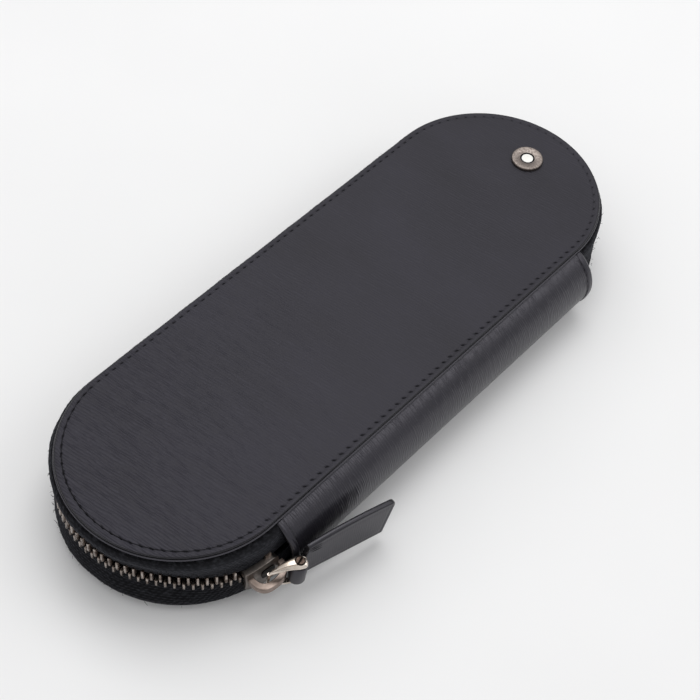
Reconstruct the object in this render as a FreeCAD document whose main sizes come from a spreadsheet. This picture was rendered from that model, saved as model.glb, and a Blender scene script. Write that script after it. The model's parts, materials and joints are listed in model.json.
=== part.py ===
import FreeCAD, Part
import math
import os
import re
import Sketcher

# A zip-round leather case for fountain pens, closed, lying on its lower cover.
# The origin is the centre of the lower cover's outer face, +Z is up, the long side runs along Y,
# the leather spine is at +X and the zip runs round the other three sides.

# Driving sizes in millimetres, angles in degrees.
SIZES = {
    "panel_radius": 31.0,        # half width of a cover, and the radius of its round ends
    "straight_half": 60.0,       # half length of the straight sides
    "case_height": 23.0,         # over both covers
    "cover_thick": 1.4,          # outer leather
    "cover_round": 0.65,         # burnished round on the cover's edges
    "core_thick": 0.8,           # layer of board and tape between cover and lining
    "lining_thick": 0.8,
    "sewn_margin": 4.6,          # from the cover's edge to the board
    "lining_inset": 1.3,         # from the cover's edge to the lining's edge
    "layer_gap": 0.1,            # between pieces that lie side by side in one layer
    "fold_gap": 0.2,             # between the spine's top and the upper cover
    "spine_bulge": 6.0,          # how far the spine stands out from the covers
    "spine_thick": 1.2,
    "spine_lining_thick": 0.8,
    "spine_lining_inset": 8.0,   # from the spine's end to its lining
    "tape_bulge": 0.8,           # middle of the tape outside the cover's edge
    "tape_bend": 2.0,            # bend of the tape from the margin to the wall
    "tape_gap": 1.6,             # from mid height to each tape's free edge
    "tape_tail": 6.0,            # tape tucked into each end of the spine
    "tail_height": 5.6,
    "tooth_pitch": 2.22,
    "tooth_thick": 0.94,         # along the zip
    "tooth_depth": 2.4,          # across the tape
    "tooth_reach": 3.5,          # from mid height to the end of the clamping legs
    "tooth_overlap": 0.6,        # how far a tooth passes mid height
    "clamp_gap": 0.05,           # between the tape and what clamps it
    "chain_start": 5.4,          # first tooth, measured from the spine's near end
    "chain_end_gap": 3.0,        # from the last tooth to the spine's far end
    "stop_length": 1.8,
    "stop_place": 3.2,           # top stops, measured from the spine's near end
    "slider_turn": -8.85,        # place of the slider round the near end
    "slider_span": 17.2,         # its length round the near end
    "channel_gap": 0.25,         # between the teeth and the slider
    "plate_thick": 1.2,
    "flange_thick": 0.9,
    "tape_slot": 1.3,            # gap between the slider's flanges
    "post_turn": 6.2,            # place of the slider's dividing post
    "post_span": 3.0,
    "post_height": 1.6,
    "bridge_near": 5.3,          # bridge's foot towards the closed zip
    "bridge_far": 4.05,          # bridge's foot towards the spine
    "bridge_flank": 3.2,         # height of its flanks over the plate
    "bridge_arch": 1.15,         # rise of its crown over the flanks
    "bridge_thick": 1.2,
    "bridge_height": 2.4,
    "bar_lift": 2.15,            # shackle's bar over the slider's outer plate
    "bar_turn": -10.4,           # its place round the near end
    "bar_rise": 0.44,            # its middle over the middle of the bridge
    "bar_diameter": 1.6,
    "bar_gap": 4.0,              # between the arms at the bar
    "pull_droop": 6.4,           # slope of the hanging pull
    "shackle_heading": 63.4,     # direction of the shackle, from +X towards +Y
    "shackle_length": 7.57,      # from bar to pin
    "shackle_gap": 6.5,          # between the arms at the pin
    "arm_thick": 1.1,
    "arm_width": 3.8,            # at the pin
    "pin_diameter": 1.6,
    "pin_gap": 0.06,
    "head_diameter": 2.7,
    "head_height": 0.6,
    "head_slot": 0.5,
    "tab_swing": 14.4,           # turn of the tab on its pin, from the shackle's direction
    "tab_length": 28.4,
    "tab_thick": 1.5,
    "tab_nose": 6.1,             # width of the fold between the arms
    "tab_neck": 2.5,             # from the pin to the tab's shoulders
    "tab_root": 11.2,            # width at the shoulders
    "tab_end": 12.8,             # width at the free end
    "tab_lift": 1.1,             # middle of the tab over the middle of its pin
    "tab_slant": 2.0,            # lean of the free end
    "tab_corner": 2.0,
    "fold_radius": 2.1,          # outside of the fold round the pin
    "emblem_inset": 14.3,        # rivet's centre from the far end of the cover
    "emblem_diameter": 9.0,
    "emblem_height": 0.9,
    "emblem_rim": 0.55,
    "inlay_diameter": 4.2,
    "inlay_depth": 0.4,
    "shank_diameter": 2.4,
    "washer_diameter": 7.0,
    "washer_thick": 0.5,
    "band_inset": 25.0,          # middle of each elastic band from the end of the straight side
    "band_width": 18.0,
    "band_thick": 1.0,
    "loop_pitch": 18.4,
    "loop_width": 15.0,
    "loop_height": 14.0,
    "band_foot": 2.0,
}

# Lengths that follow from the driving sizes, as formulas.
MID = "(case_height / 2)"
BOARD_RADIUS = "(panel_radius - sewn_margin)"
LINING_RADIUS = "(panel_radius - lining_inset)"
TAPE_OUT = "(panel_radius + tape_bulge)"
FLOOR = "(cover_thick + core_thick + lining_thick)"
PLATE_FACE = f"({TAPE_OUT} + tooth_depth / 2 + channel_gap + plate_thick)"
EMBLEM_PLACE = "(straight_half + panel_radius - emblem_inset)"
BAND_PLACE = "(straight_half - band_inset)"

doc = FreeCAD.newDocument("PenCase")
sheet = doc.addObject("Spreadsheet::Sheet", "Sizes")
for row, (alias, number) in enumerate(SIZES.items(), start=1):
    sheet.set(f"A{row}", str(number))
    sheet.setAlias(f"A{row}", alias)
doc.recompute()

pieces = []


def bind(formula):
    """The formula with every size's name written as its cell in the sheet."""
    return re.sub(r"[a-z_]+", lambda word: f"Sizes.{word[0]}" if word[0] in SIZES else word[0], formula)


def value(formula):
    """The formula's present value as a number."""
    return float(sheet.evalExpression(bind(formula)))


def new_body(name):
    """An empty body for one piece."""
    body = doc.addObject("PartDesign::Body", name)
    body.Label = name
    pieces.append(body)
    return body


def new_sketch(body, plane, lift="0", turn="0"):
    """A sketch on one of the body's own planes, lifted along the plane's normal and turned about Z."""
    sketch = body.newObject("Sketcher::SketchObject", "Outline")
    sketch.AttachmentSupport = (next(p for p in body.Origin.OriginFeatures if p.Role == plane), [""])
    sketch.MapMode = "FlatFace"
    sketch.setExpression("AttachmentOffset.Base.z", bind(lift))
    if turn != "0":
        upright = FreeCAD.Vector(0, 1, 0)
        sketch.AttachmentOffset = FreeCAD.Placement(FreeCAD.Vector(), FreeCAD.Rotation(upright, 1))
        sketch.setExpression("AttachmentOffset.Rotation.Angle", bind(turn))
    return sketch


def bound_distance(sketch, kind, edge, point, formula):
    """Hold one coordinate of an edge's point at the formula's value."""
    number = sketch.addConstraint(Sketcher.Constraint(kind, -1, 1, edge, point, value(formula)))
    sketch.setExpression(f"Constraints[{number}]", bind(formula))


def closed_outline(sketch, *corners):
    """Closed outline through corners given as formulas. A corner (x, y) is reached by a straight run
    from the corner before it, and a corner (x, y, axis, centre, turn) by an arc whose centre has that
    coordinate on that axis, with turn +1 for counter-clockwise and -1 for clockwise."""
    first_edge = sketch.GeometryCount
    ends = []
    for index, corner in enumerate(corners):
        start = FreeCAD.Vector(value(corners[index - 1][0]), value(corners[index - 1][1]), 0)
        end = FreeCAD.Vector(value(corner[0]), value(corner[1]), 0)
        if len(corner) == 2:
            sketch.addGeometry(Part.LineSegment(start, end))
            ends.append((1, 2))
            continue
        axis, centre, turn = corner[2:]
        middle = (start + end) / 2
        across = FreeCAD.Vector(start.y - end.y, end.x - start.x, 0)
        step = (value(centre) - getattr(middle, axis)) / getattr(across, axis)
        hub = middle + across * step
        angles = [math.atan2(point.y - hub.y, point.x - hub.x) for point in (start, end)]
        circle = Part.Circle(hub, FreeCAD.Vector(0, 0, 1), (start - hub).Length)
        sketch.addGeometry(Part.ArcOfCircle(circle, *angles[::turn]))
        ends.append((1, 2)[::turn])
    for index, corner in enumerate(corners):
        edge = first_edge + index
        following = (index + 1) % len(corners)
        joint = (edge, ends[index][1], first_edge + following, ends[following][0])
        sketch.addConstraint(Sketcher.Constraint("Coincident", *joint))
        bound_distance(sketch, "DistanceX", edge, ends[index][1], corner[0])
        bound_distance(sketch, "DistanceY", edge, ends[index][1], corner[1])
        if len(corner) > 2:
            bound_distance(sketch, "Distance" + corner[2].upper(), edge, 3, corner[3])


def circle_outline(sketch, diameter, x="0", y="0"):
    """A circle of the given diameter round the point (x, y)."""
    centre = FreeCAD.Vector(value(x), value(y), 0)
    edge = sketch.addGeometry(Part.Circle(centre, FreeCAD.Vector(0, 0, 1), value(diameter) / 2))
    bound_distance(sketch, "DistanceX", edge, 3, x)
    bound_distance(sketch, "DistanceY", edge, 3, y)
    number = sketch.addConstraint(Sketcher.Constraint("Diameter", edge, value(diameter)))
    sketch.setExpression(f"Constraints[{number}]", bind(diameter))


def box_outline(sketch, left, right, low, high):
    """A rectangle between two formulas on each axis."""
    closed_outline(sketch, (left, low), (right, low), (right, high), (left, high))


def stadium_outline(sketch, radius):
    """Two straight sides joined by half circles."""
    closed_outline(
        sketch,
        (radius, "-straight_half", "y", "-straight_half", 1),
        (radius, "straight_half"),
        (f"-{radius}", "straight_half", "y", "straight_half", 1),
        (f"-{radius}", "-straight_half"),
    )


def grow(body, sketch, length, kind="Pad", side="One side", back=False):
    """Pad or pocket a sketch by a length."""
    feature = body.newObject(f"PartDesign::{kind}", kind)
    feature.Profile = sketch
    feature.SideType = side
    feature.Reversed = back
    feature.setExpression("Length", bind(length))


def spin(body, sketch, angle, both_ways=False):
    """Turn a sketch about its upright axis."""
    feature = body.newObject("PartDesign::Revolution", "Revolution")
    feature.Profile = sketch
    feature.ReferenceAxis = (sketch, ["V_Axis"])
    feature.Midplane = both_ways
    feature.setExpression("Angle", bind(angle))


def plate(name, radius, low, thickness):
    """A flat layer with the case's outline."""
    body = new_body(name)
    sketch = new_sketch(body, "XY_Plane", low)
    stadium_outline(sketch, radius)
    grow(body, sketch, thickness)
    return body


def cover(name, low):
    """Outer leather with its edges burnished round."""
    body = plate(name, "panel_radius", low, "cover_thick")
    doc.recompute()
    flat = body.Tip
    level_edges = [f"Edge{number}" for number, edge in enumerate(flat.Shape.Edges, start=1)
                   if edge.BoundBox.ZLength < value("cover_thick") / 2]
    rim = body.newObject("PartDesign::Fillet", "Rim")
    rim.Base = (flat, level_edges)
    rim.setExpression("Radius", bind("cover_round"))
    return body


def bore(body, diameter, x, y, low, depth):
    """A round hole from the height low, upwards by depth."""
    sketch = new_sketch(body, "XY_Plane", low)
    circle_outline(sketch, diameter, x, y)
    grow(body, sketch, depth, kind="Pocket", back=True)


# The two covers with their boards and linings

UPPER = "(case_height - cover_thick)"
TOP_CORE = f"({UPPER} - core_thick)"
TOP_LINING = f"({TOP_CORE} - lining_thick)"

top_panel = cover("top_panel", UPPER)
bore(top_panel, "shank_diameter + 2 * pin_gap", "0", EMBLEM_PLACE, UPPER, "cover_thick")
top_board = plate("top_board", BOARD_RADIUS, TOP_CORE, "core_thick")
bore(top_board, "washer_diameter + 2 * layer_gap", "0", EMBLEM_PLACE, TOP_CORE, "core_thick")
plate("top_lining", LINING_RADIUS, TOP_LINING, "lining_thick")
cover("bottom_panel", "0")
plate("bottom_board", BOARD_RADIUS, "cover_thick", "core_thick")
plate("bottom_lining", LINING_RADIUS, "cover_thick + core_thick", "lining_thick")

# The spine, a band bent to an arc between the covers, with a sewn margin on the lower cover

SPINE_TOP = f"({UPPER} - fold_gap)"
SPINE_HALF = f"(({SPINE_TOP} - cover_thick) / 2)"
SPINE_MID = f"(({SPINE_TOP} + cover_thick) / 2)"
SPINE_RADIUS = f"(({SPINE_HALF} ^ 2 + spine_bulge ^ 2) / (2 * spine_bulge))"
SPINE_HUB = f"(panel_radius + spine_bulge - {SPINE_RADIUS})"
SPINE_INNER = f"({SPINE_RADIUS} - spine_thick)"
SPINE_FACE = f"({SPINE_INNER} - spine_lining_thick)"
MARGIN_TOP = "(cover_thick + core_thick)"
SPINE_EDGE = "(panel_radius - spine_thick)"


def spine_x(radius, height):
    """Where an arc of this radius about the spine's axis crosses a height."""
    return f"({SPINE_HUB} + sqrt({radius} ^ 2 - ({height} - {SPINE_MID}) ^ 2))"


spine_rise = f"({SPINE_MID} + sqrt({SPINE_INNER} ^ 2 - ({SPINE_EDGE} - {SPINE_HUB}) ^ 2))"
spine_leather = new_body("spine_leather")
spine_section = new_sketch(spine_leather, "XZ_Plane")
closed_outline(
    spine_section,
    (f"{BOARD_RADIUS} + layer_gap", "cover_thick"),
    ("panel_radius", "cover_thick"),
    ("panel_radius", SPINE_TOP, "x", SPINE_HUB, 1),
    (SPINE_EDGE, SPINE_TOP),
    (SPINE_EDGE, spine_rise),
    (spine_x(SPINE_INNER, MARGIN_TOP), MARGIN_TOP, "x", SPINE_HUB, -1),
    (f"{BOARD_RADIUS} + layer_gap", MARGIN_TOP),
)
grow(spine_leather, spine_section, "2 * straight_half", side="Symmetric")

SKIN_LOW = f"({FLOOR} + fold_gap)"
SKIN_HIGH = f"({TOP_LINING} - fold_gap)"
spine_lining = new_body("spine_lining")
skin_section = new_sketch(spine_lining, "XZ_Plane")
closed_outline(
    skin_section,
    (spine_x(SPINE_INNER, SKIN_LOW), SKIN_LOW),
    (spine_x(SPINE_INNER, SKIN_HIGH), SKIN_HIGH, "x", SPINE_HUB, 1),
    (spine_x(SPINE_FACE, SKIN_HIGH), SKIN_HIGH),
    (spine_x(SPINE_FACE, SKIN_LOW), SKIN_LOW, "x", SPINE_HUB, -1),
)
grow(spine_lining, skin_section, "2 * (straight_half - spine_lining_inset)", side="Symmetric")


# The zip's tapes: a sewn margin in the core layer that bends round into the side wall

def tape_section(sketch, side, way):
    """Section of a tape, with side -1 or +1 for the left or right of the case and way +1 for the
    upper tape or -1 for the lower one."""
    half = "core_thick / 2"
    bend_x = f"({TAPE_OUT} - tape_bend)"

    def corner(out, drop, *arc):
        place = (f"{side} * ({out})", f"{MID} + {way} * ({MID} - cover_thick - {drop})")
        return place + arc

    hub = f"{side} * {bend_x}"
    closed_outline(
        sketch,
        corner(f"{BOARD_RADIUS} + layer_gap", "0"),
        corner(bend_x, "0"),
        corner(f"{TAPE_OUT} + {half}", f"({half} + tape_bend)", "x", hub, -side * way),
        corner(f"{TAPE_OUT} + {half}", f"({MID} - cover_thick - tape_gap)"),
        corner(f"{TAPE_OUT} - {half}", f"({MID} - cover_thick - tape_gap)"),
        corner(f"{TAPE_OUT} - {half}", f"({half} + tape_bend)"),
        corner(bend_x, "core_thick", "x", hub, side * way),
        corner(f"{BOARD_RADIUS} + layer_gap", "core_thick"),
    )


def tape(name, way):
    """One tape: near end, left side, far end, and a tail tucked into each end of the spine."""
    body = new_body(name)
    straight = new_sketch(body, "XZ_Plane")
    tape_section(straight, -1, way)
    grow(body, straight, "2 * straight_half", side="Symmetric")
    for side, lift in ((-1, "straight_half"), (1, "-straight_half")):
        end = new_sketch(body, "XZ_Plane", lift)
        tape_section(end, side, way)
        spin(body, end, "180")
        tail = new_sketch(body, "XZ_Plane", lift)
        edges = (f"{MID} + {way} * tape_gap", f"{MID} + {way} * (tape_gap + tail_height)")
        box_outline(tail, f"{TAPE_OUT} - core_thick / 2", f"{TAPE_OUT} + core_thick / 2", *edges[::way])
        grow(body, tail, "tape_tail", back=side < 0)


tape("upper_tape", 1)
tape("lower_tape", -1)


# The zip's metal: teeth and stops clamped on the tape, set out along its path

ARC_LENGTH = math.pi * value(TAPE_OUT)
CHAIN_LENGTH = 2 * ARC_LENGTH + 2 * value("straight_half")


def path_place(along):
    """Placement on the zip's path at a distance from the spine's near end: local Y runs back along
    the path and local X points outwards."""
    radius = value(TAPE_OUT)
    half = value("straight_half")
    if along < ARC_LENGTH:
        hub, turn, slip = -half, -along / radius, 0
    elif along < ARC_LENGTH + 2 * half:
        hub, turn, slip = -half, -math.pi, along - ARC_LENGTH
    else:
        hub, turn, slip = half, -math.pi - (along - ARC_LENGTH - 2 * half) / radius, 0
    spot = FreeCAD.Vector(radius * math.cos(turn), hub + slip + radius * math.sin(turn), value(MID))
    return FreeCAD.Placement(spot, FreeCAD.Rotation(FreeCAD.Vector(0, 0, 1), math.degrees(turn)))


def clamp(ways, low, length):
    """A metal block gripping the tape: a head from the height low, and legs on both sides of the tape
    above it, or above and below it with ways (1, -1)."""
    depth = value("tooth_depth")
    reach = value("tooth_reach")
    slot = value("core_thick") + 2 * value("clamp_gap")
    slot_low = value("tape_gap") - value("clamp_gap")
    bottom = -reach if -1 in ways else low
    corner = FreeCAD.Vector(-depth / 2, -length / 2, bottom)
    block = Part.makeBox(depth, length, reach - bottom, corner)
    for way in ways:
        slot_corner = FreeCAD.Vector(-slot / 2, -length, min(way * slot_low, way * 2 * reach))
        block = block.cut(Part.makeBox(slot, 2 * length, 2 * reach - slot_low, slot_corner))
    return block


def metal(name, shape):
    """A piece whose shape is given whole."""
    feature = doc.addObject("Part::Feature", name)
    feature.Label = name
    feature.Shape = shape
    pieces.append(feature)


def on_path(shape, along, flip=False):
    """A copy of a clamp set on the path, turned over for the lower tape."""
    copy = shape.copy()
    if flip:
        copy = copy.mirror(FreeCAD.Vector(), FreeCAD.Vector(0, 0, 1))
    copy.Placement = path_place(along).multiply(copy.Placement)
    return copy


pitch = value("tooth_pitch")
chain_run = CHAIN_LENGTH - value("chain_start") - value("chain_end_gap")
tooth_count = int(chain_run / pitch)
tooth = clamp((1,), -value("tooth_overlap"), value("tooth_thick"))
for name, flip, shift in (("upper_teeth", False, 0.0), ("lower_teeth", True, 0.5)):
    places = [value("chain_start") + (n + shift) * pitch for n in range(tooth_count)]
    metal(name, Part.makeCompound([on_path(tooth, along, flip) for along in places]))

top_stop = clamp((1,), value("post_height") / 2 + value("channel_gap"), value("stop_length"))
metal("upper_top_stop", on_path(top_stop, value("stop_place")))
metal("lower_top_stop", on_path(top_stop, value("stop_place"), flip=True))
bottom_stop = clamp((1, -1), 0, value("stop_length"))
metal("bottom_stop", on_path(bottom_stop, CHAIN_LENGTH - value("stop_length")))


# The slider, cast in one with its bridge, curved to the near end of the case

def put_on_near_end(body, turn):
    """Stand a body on the near end's upright axis, turned to its place."""
    body.Placement.Rotation = FreeCAD.Rotation(FreeCAD.Vector(0, 0, 1), 1)
    body.setExpression("Placement.Base.y", bind("-straight_half"))
    body.setExpression("Placement.Rotation.Angle", bind(turn))


CHANNEL = "(tooth_depth / 2 + channel_gap)"
POST_HALF = f"({CHANNEL} + plate_thick / 2)"
SLIDER_HALF = "(tooth_reach + channel_gap + flange_thick)"


def jaw(body, side):
    """The slider's plate on one side of the tape, with its two flanges bent towards the tape."""
    def out(distance):
        return f"{TAPE_OUT} + {side} * ({distance})"

    sketch = new_sketch(body, "XZ_Plane")
    closed_outline(
        sketch,
        (out(f"{CHANNEL} + plate_thick"), f"{MID} - {SLIDER_HALF}"),
        (out(f"{CHANNEL} + plate_thick"), f"{MID} + {SLIDER_HALF}"),
        (out("tape_slot / 2"), f"{MID} + {SLIDER_HALF}"),
        (out("tape_slot / 2"), f"{MID} + {SLIDER_HALF} - flange_thick"),
        (out(CHANNEL), f"{MID} + {SLIDER_HALF} - flange_thick"),
        (out(CHANNEL), f"{MID} - {SLIDER_HALF} + flange_thick"),
        (out("tape_slot / 2"), f"{MID} - {SLIDER_HALF} + flange_thick"),
        (out("tape_slot / 2"), f"{MID} - {SLIDER_HALF}"),
    )
    spin(body, sketch, "slider_span", both_ways=True)


slider_body = new_body("slider_body")
jaw(slider_body, "-1")
post = new_sketch(slider_body, "XZ_Plane", turn="post_turn")
box_outline(post, f"{TAPE_OUT} - {POST_HALF}", f"{TAPE_OUT} + {POST_HALF}",
            f"{MID} - post_height / 2", f"{MID} + post_height / 2")
spin(slider_body, post, "post_span", both_ways=True)
jaw(slider_body, "1")

FOOT = f"({PLATE_FACE} - plate_thick / 2)"
SHOULDER = f"({PLATE_FACE} + bridge_flank)"


def arch_hub(chord, rise):
    """Distance from an arch's chord down to its centre."""
    return f"(({chord}) ^ 2 / (8 * {rise}) - {rise} / 2)"


bridge = new_sketch(slider_body, "XY_Plane", MID)
outer_hub = f"{SHOULDER} - {arch_hub('bridge_near + bridge_far', 'bridge_arch')}"
inner_chord = "bridge_near + bridge_far - 2 * bridge_thick"
inner_hub = f"{SHOULDER} - bridge_thick - {arch_hub(inner_chord, 'bridge_arch')}"
closed_outline(
    bridge,
    (FOOT, "-bridge_near"),
    (SHOULDER, "-bridge_near"),
    (SHOULDER, "bridge_far", "x", outer_hub, 1),
    (FOOT, "bridge_far"),
    (FOOT, "bridge_far - bridge_thick"),
    (f"{SHOULDER} - bridge_thick", "bridge_far - bridge_thick"),
    (f"{SHOULDER} - bridge_thick", "-bridge_near + bridge_thick", "x", inner_hub, -1),
    (FOOT, "-bridge_near + bridge_thick"),
)
grow(slider_body, bridge, "bridge_height", side="Symmetric")
put_on_near_end(slider_body, "slider_turn")

# The pull: a shackle whose bar lies under the bridge, a pin, and a leather tab folded round the pin.
# Each is drawn flat with its hinge at the origin, its length along X and the hinge upright.

BAR_OUT = f"({PLATE_FACE} + bar_lift)"
BAR_X = f"({BAR_OUT} * cos(bar_turn))"
BAR_Y = f"({BAR_OUT} * sin(bar_turn) - straight_half)"
PIN_RUN = "(shackle_length * cos(pull_droop))"
PIN_X = f"({BAR_X} + {PIN_RUN} * cos(shackle_heading))"
PIN_Y = f"({BAR_Y} + {PIN_RUN} * sin(shackle_heading))"
BAR_Z = f"({MID} + bar_rise)"
PIN_Z = f"({BAR_Z} - shackle_length * sin(pull_droop))"


def hang(body, x, y, z, swing="0"):
    """Hang a flat-drawn body at a point: swung on its hinge, leaning down by the droop, and then
    turned to the shackle's heading."""
    def turned(axis, angle):
        return f"create(<<rotation>>; create(<<vector>>; {axis}); {bind(angle)})"
    spot = f"create(<<vector>>; {bind(x)}; {bind(y)}; {bind(z)})"
    turns = (turned("0; 0; 1", "shackle_heading"), turned("0; 1; 0", "pull_droop"), turned("0; 0; 1", swing))
    body.setExpression("Placement", f"create(<<placement>>; {spot}; {' * '.join(turns)})")


ARM_LOW = "(shackle_gap / 2)"
ARM_TOP = f"({ARM_LOW} + arm_thick)"
NECK = "(shackle_length - arm_width / 2)"


def arm_section(body, place, width, low, way):
    """Section of one arm across its length: a rectangle from the height low, on one side of the tab."""
    sketch = new_sketch(body, "YZ_Plane", place)
    edges = (f"{way} * ({low})", f"{way} * ({low} + arm_thick)")
    box_outline(sketch, f"-{width} / 2", f"{width} / 2", *edges[::way])
    return sketch


pull_shackle = new_body("pull_shackle")
bar_sketch = new_sketch(pull_shackle, "XY_Plane")
circle_outline(bar_sketch, "bar_diameter")
grow(pull_shackle, bar_sketch, "bar_gap + 2 * arm_thick", side="Symmetric")
for way in (-1, 1):
    limb = pull_shackle.newObject("PartDesign::AdditiveLoft", "Limb")
    limb.Profile = arm_section(pull_shackle, "0", "bar_diameter", "bar_gap / 2", way)
    limb.Sections = [arm_section(pull_shackle, NECK, "arm_width", ARM_LOW, way)]
    paddle = new_sketch(pull_shackle, "XY_Plane", f"{way} * {ARM_LOW}")
    closed_outline(
        paddle,
        (NECK, "-arm_width / 2"),
        ("shackle_length", "-arm_width / 2"),
        ("shackle_length", "arm_width / 2", "x", "shackle_length", 1),
        (NECK, "arm_width / 2"),
    )
    grow(pull_shackle, paddle, "arm_thick", back=way == -1)
eye = new_sketch(pull_shackle, "XY_Plane")
circle_outline(eye, "pin_diameter + 2 * pin_gap", "shackle_length")
grow(pull_shackle, eye, f"4 * {ARM_TOP}", kind="Pocket", side="Symmetric")
hang(pull_shackle, BAR_X, BAR_Y, BAR_Z)

pull_pin = new_body("pull_pin")
shaft = new_sketch(pull_pin, "XY_Plane")
circle_outline(shaft, "pin_diameter")
grow(pull_pin, shaft, f"2 * {ARM_TOP}", side="Symmetric")
for way in ("-1", "1"):
    head = new_sketch(pull_pin, "XY_Plane", f"{way} * {ARM_TOP}")
    circle_outline(head, "head_diameter")
    grow(pull_pin, head, "head_height", back=way == "-1")
slot = new_sketch(pull_pin, "XY_Plane", f"{ARM_TOP} + head_height / 2")
box_outline(slot, "-head_diameter", "head_diameter", "-head_slot / 2", "head_slot / 2")
grow(pull_pin, slot, "head_height", kind="Pocket", back=True)
hang(pull_pin, PIN_X, PIN_Y, PIN_Z)

TAB_TOP = "(tab_lift + tab_end / 2)"
TAB_FOOT = "(tab_lift - tab_end / 2)"
TAB_TIP = "(tab_length + tab_slant / 2)"
pull_tab = new_body("pull_tab")
strip = new_sketch(pull_tab, "XZ_Plane", "-(fold_radius - tab_thick)")
closed_outline(
    strip,
    ("0", "-tab_nose / 2"),
    ("tab_neck", "-tab_nose / 2"),
    ("tab_neck", "tab_lift - tab_root / 2"),
    ("tab_length - tab_slant / 2", TAB_FOOT),
    (f"{TAB_TIP} - tab_slant * tab_corner / tab_end", f"{TAB_TOP} - tab_corner"),
    (f"{TAB_TIP} - tab_corner", TAB_TOP, "x", f"{TAB_TIP} - tab_corner", 1),
    ("tab_neck", "tab_lift + tab_root / 2"),
    ("tab_neck", "tab_nose / 2"),
    ("0", "tab_nose / 2"),
)
grow(pull_tab, strip, "tab_thick", back=True)
fold = new_sketch(pull_tab, "XY_Plane")
circle_outline(fold, "2 * fold_radius")
grow(pull_tab, fold, "tab_nose", side="Symmetric")
tab_eye = new_sketch(pull_tab, "XY_Plane")
circle_outline(tab_eye, "pin_diameter + 2 * pin_gap")
grow(pull_tab, tab_eye, "2 * tab_end", kind="Pocket", side="Symmetric")
hang(pull_tab, PIN_X, PIN_Y, PIN_Z, "tab_swing")

# The round rivet on the upper cover, with a pale inlay and a washer under the leather

RIVET_END = f"({UPPER} - washer_thick)"
emblem_cap = new_body("emblem_cap")
cap_section = new_sketch(emblem_cap, "XZ_Plane", f"-{EMBLEM_PLACE}")
closed_outline(
    cap_section,
    ("0", RIVET_END),
    ("shank_diameter / 2", RIVET_END),
    ("shank_diameter / 2", "case_height"),
    ("emblem_diameter / 2", "case_height"),
    ("emblem_diameter / 2", "case_height + emblem_rim"),
    ("inlay_diameter / 2", "case_height + emblem_height"),
    ("inlay_diameter / 2", "case_height + emblem_height - inlay_depth"),
    ("0", "case_height + emblem_height - inlay_depth"),
)
spin(emblem_cap, cap_section, "360")


def ring(name, outside, inside, low, height):
    """A round piece on the rivet's axis, with a hole unless inside is None."""
    body = new_body(name)
    sketch = new_sketch(body, "XY_Plane", low)
    circle_outline(sketch, outside, "0", EMBLEM_PLACE)
    if inside:
        circle_outline(sketch, inside, "0", EMBLEM_PLACE)
    grow(body, sketch, height)


ring("emblem_inlay", "inlay_diameter - 2 * pin_gap", None,
     "case_height + emblem_height - inlay_depth", "inlay_depth")
ring("emblem_washer", "washer_diameter", "shank_diameter + 2 * pin_gap", RIVET_END, "washer_thick")


# The elastic bands that hold the pens, each one strip with three loops

def pen_band(name, lift):
    """A strip that arches over each pen and is sewn down beside and between them."""
    body = new_body(name)
    sketch = new_sketch(body, "XZ_Plane", lift)
    outer = "(loop_width / 2 + band_thick)"
    inner = "(loop_width / 2)"
    spring_line = f"({FLOOR} + loop_height - loop_width / 2)"
    sole = f"({FLOOR} + band_thick)"
    places = ("-loop_pitch", "0", "loop_pitch")
    edge = f"loop_pitch + {outer} + band_foot"
    corners = [(f"-({edge})", FLOOR)]
    for place in places:
        corners += [
            (f"{place} - {inner}", FLOOR),
            (f"{place} - {inner}", spring_line),
            (f"{place} + {inner}", spring_line, "y", spring_line, -1),
            (f"{place} + {inner}", FLOOR),
        ]
    corners += [(edge, FLOOR), (edge, sole)]
    for place in reversed(places):
        corners += [
            (f"{place} + {outer}", sole),
            (f"{place} + {outer}", spring_line),
            (f"{place} - {outer}", spring_line, "y", spring_line, 1),
            (f"{place} - {outer}", sole),
        ]
    corners.append((f"-({edge})", sole))
    closed_outline(sketch, *corners)
    grow(body, sketch, "band_width", side="Symmetric")


pen_band("near_pen_band", BAND_PLACE)
pen_band("far_pen_band", f"-{BAND_PLACE}")

# Recompute, test every object, and write one file per piece

doc.recompute()
failed = [item.Label for item in doc.Objects if {"Invalid", "Error"} & set(item.State)]
failed += [piece.Label for piece in pieces if piece.Shape.isNull() or not piece.Shape.isValid()]
if failed:
    raise RuntimeError("pieces that failed to build: " + ", ".join(failed))
os.makedirs("parts", exist_ok=True)
for piece in pieces:
    piece.Shape.exportStep(f"parts/{piece.Label}.step")
    print(piece.Label, len(piece.Shape.Solids), round(piece.Shape.Volume, 2))
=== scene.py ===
import json
import math
import bmesh
import bpy
import numpy as np
from mathutils import Matrix, Vector


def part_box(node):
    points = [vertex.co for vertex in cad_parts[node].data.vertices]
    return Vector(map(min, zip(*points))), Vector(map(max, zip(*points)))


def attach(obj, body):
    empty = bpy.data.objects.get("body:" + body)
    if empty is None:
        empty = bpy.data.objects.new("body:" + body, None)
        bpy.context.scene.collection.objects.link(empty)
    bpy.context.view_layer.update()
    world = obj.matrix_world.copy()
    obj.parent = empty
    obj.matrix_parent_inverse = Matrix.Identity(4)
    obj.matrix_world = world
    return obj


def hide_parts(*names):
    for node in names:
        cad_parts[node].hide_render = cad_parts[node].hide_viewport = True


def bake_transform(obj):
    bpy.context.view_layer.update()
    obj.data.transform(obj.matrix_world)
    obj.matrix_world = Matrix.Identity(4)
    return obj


# A zip-round leather case for fountain pens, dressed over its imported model.
# Shapes are worked out in millimetres and put into the meshes in metres.
# The case lies on its lower cover, with its spine at +X and the end with the rivet at +Y.

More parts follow.
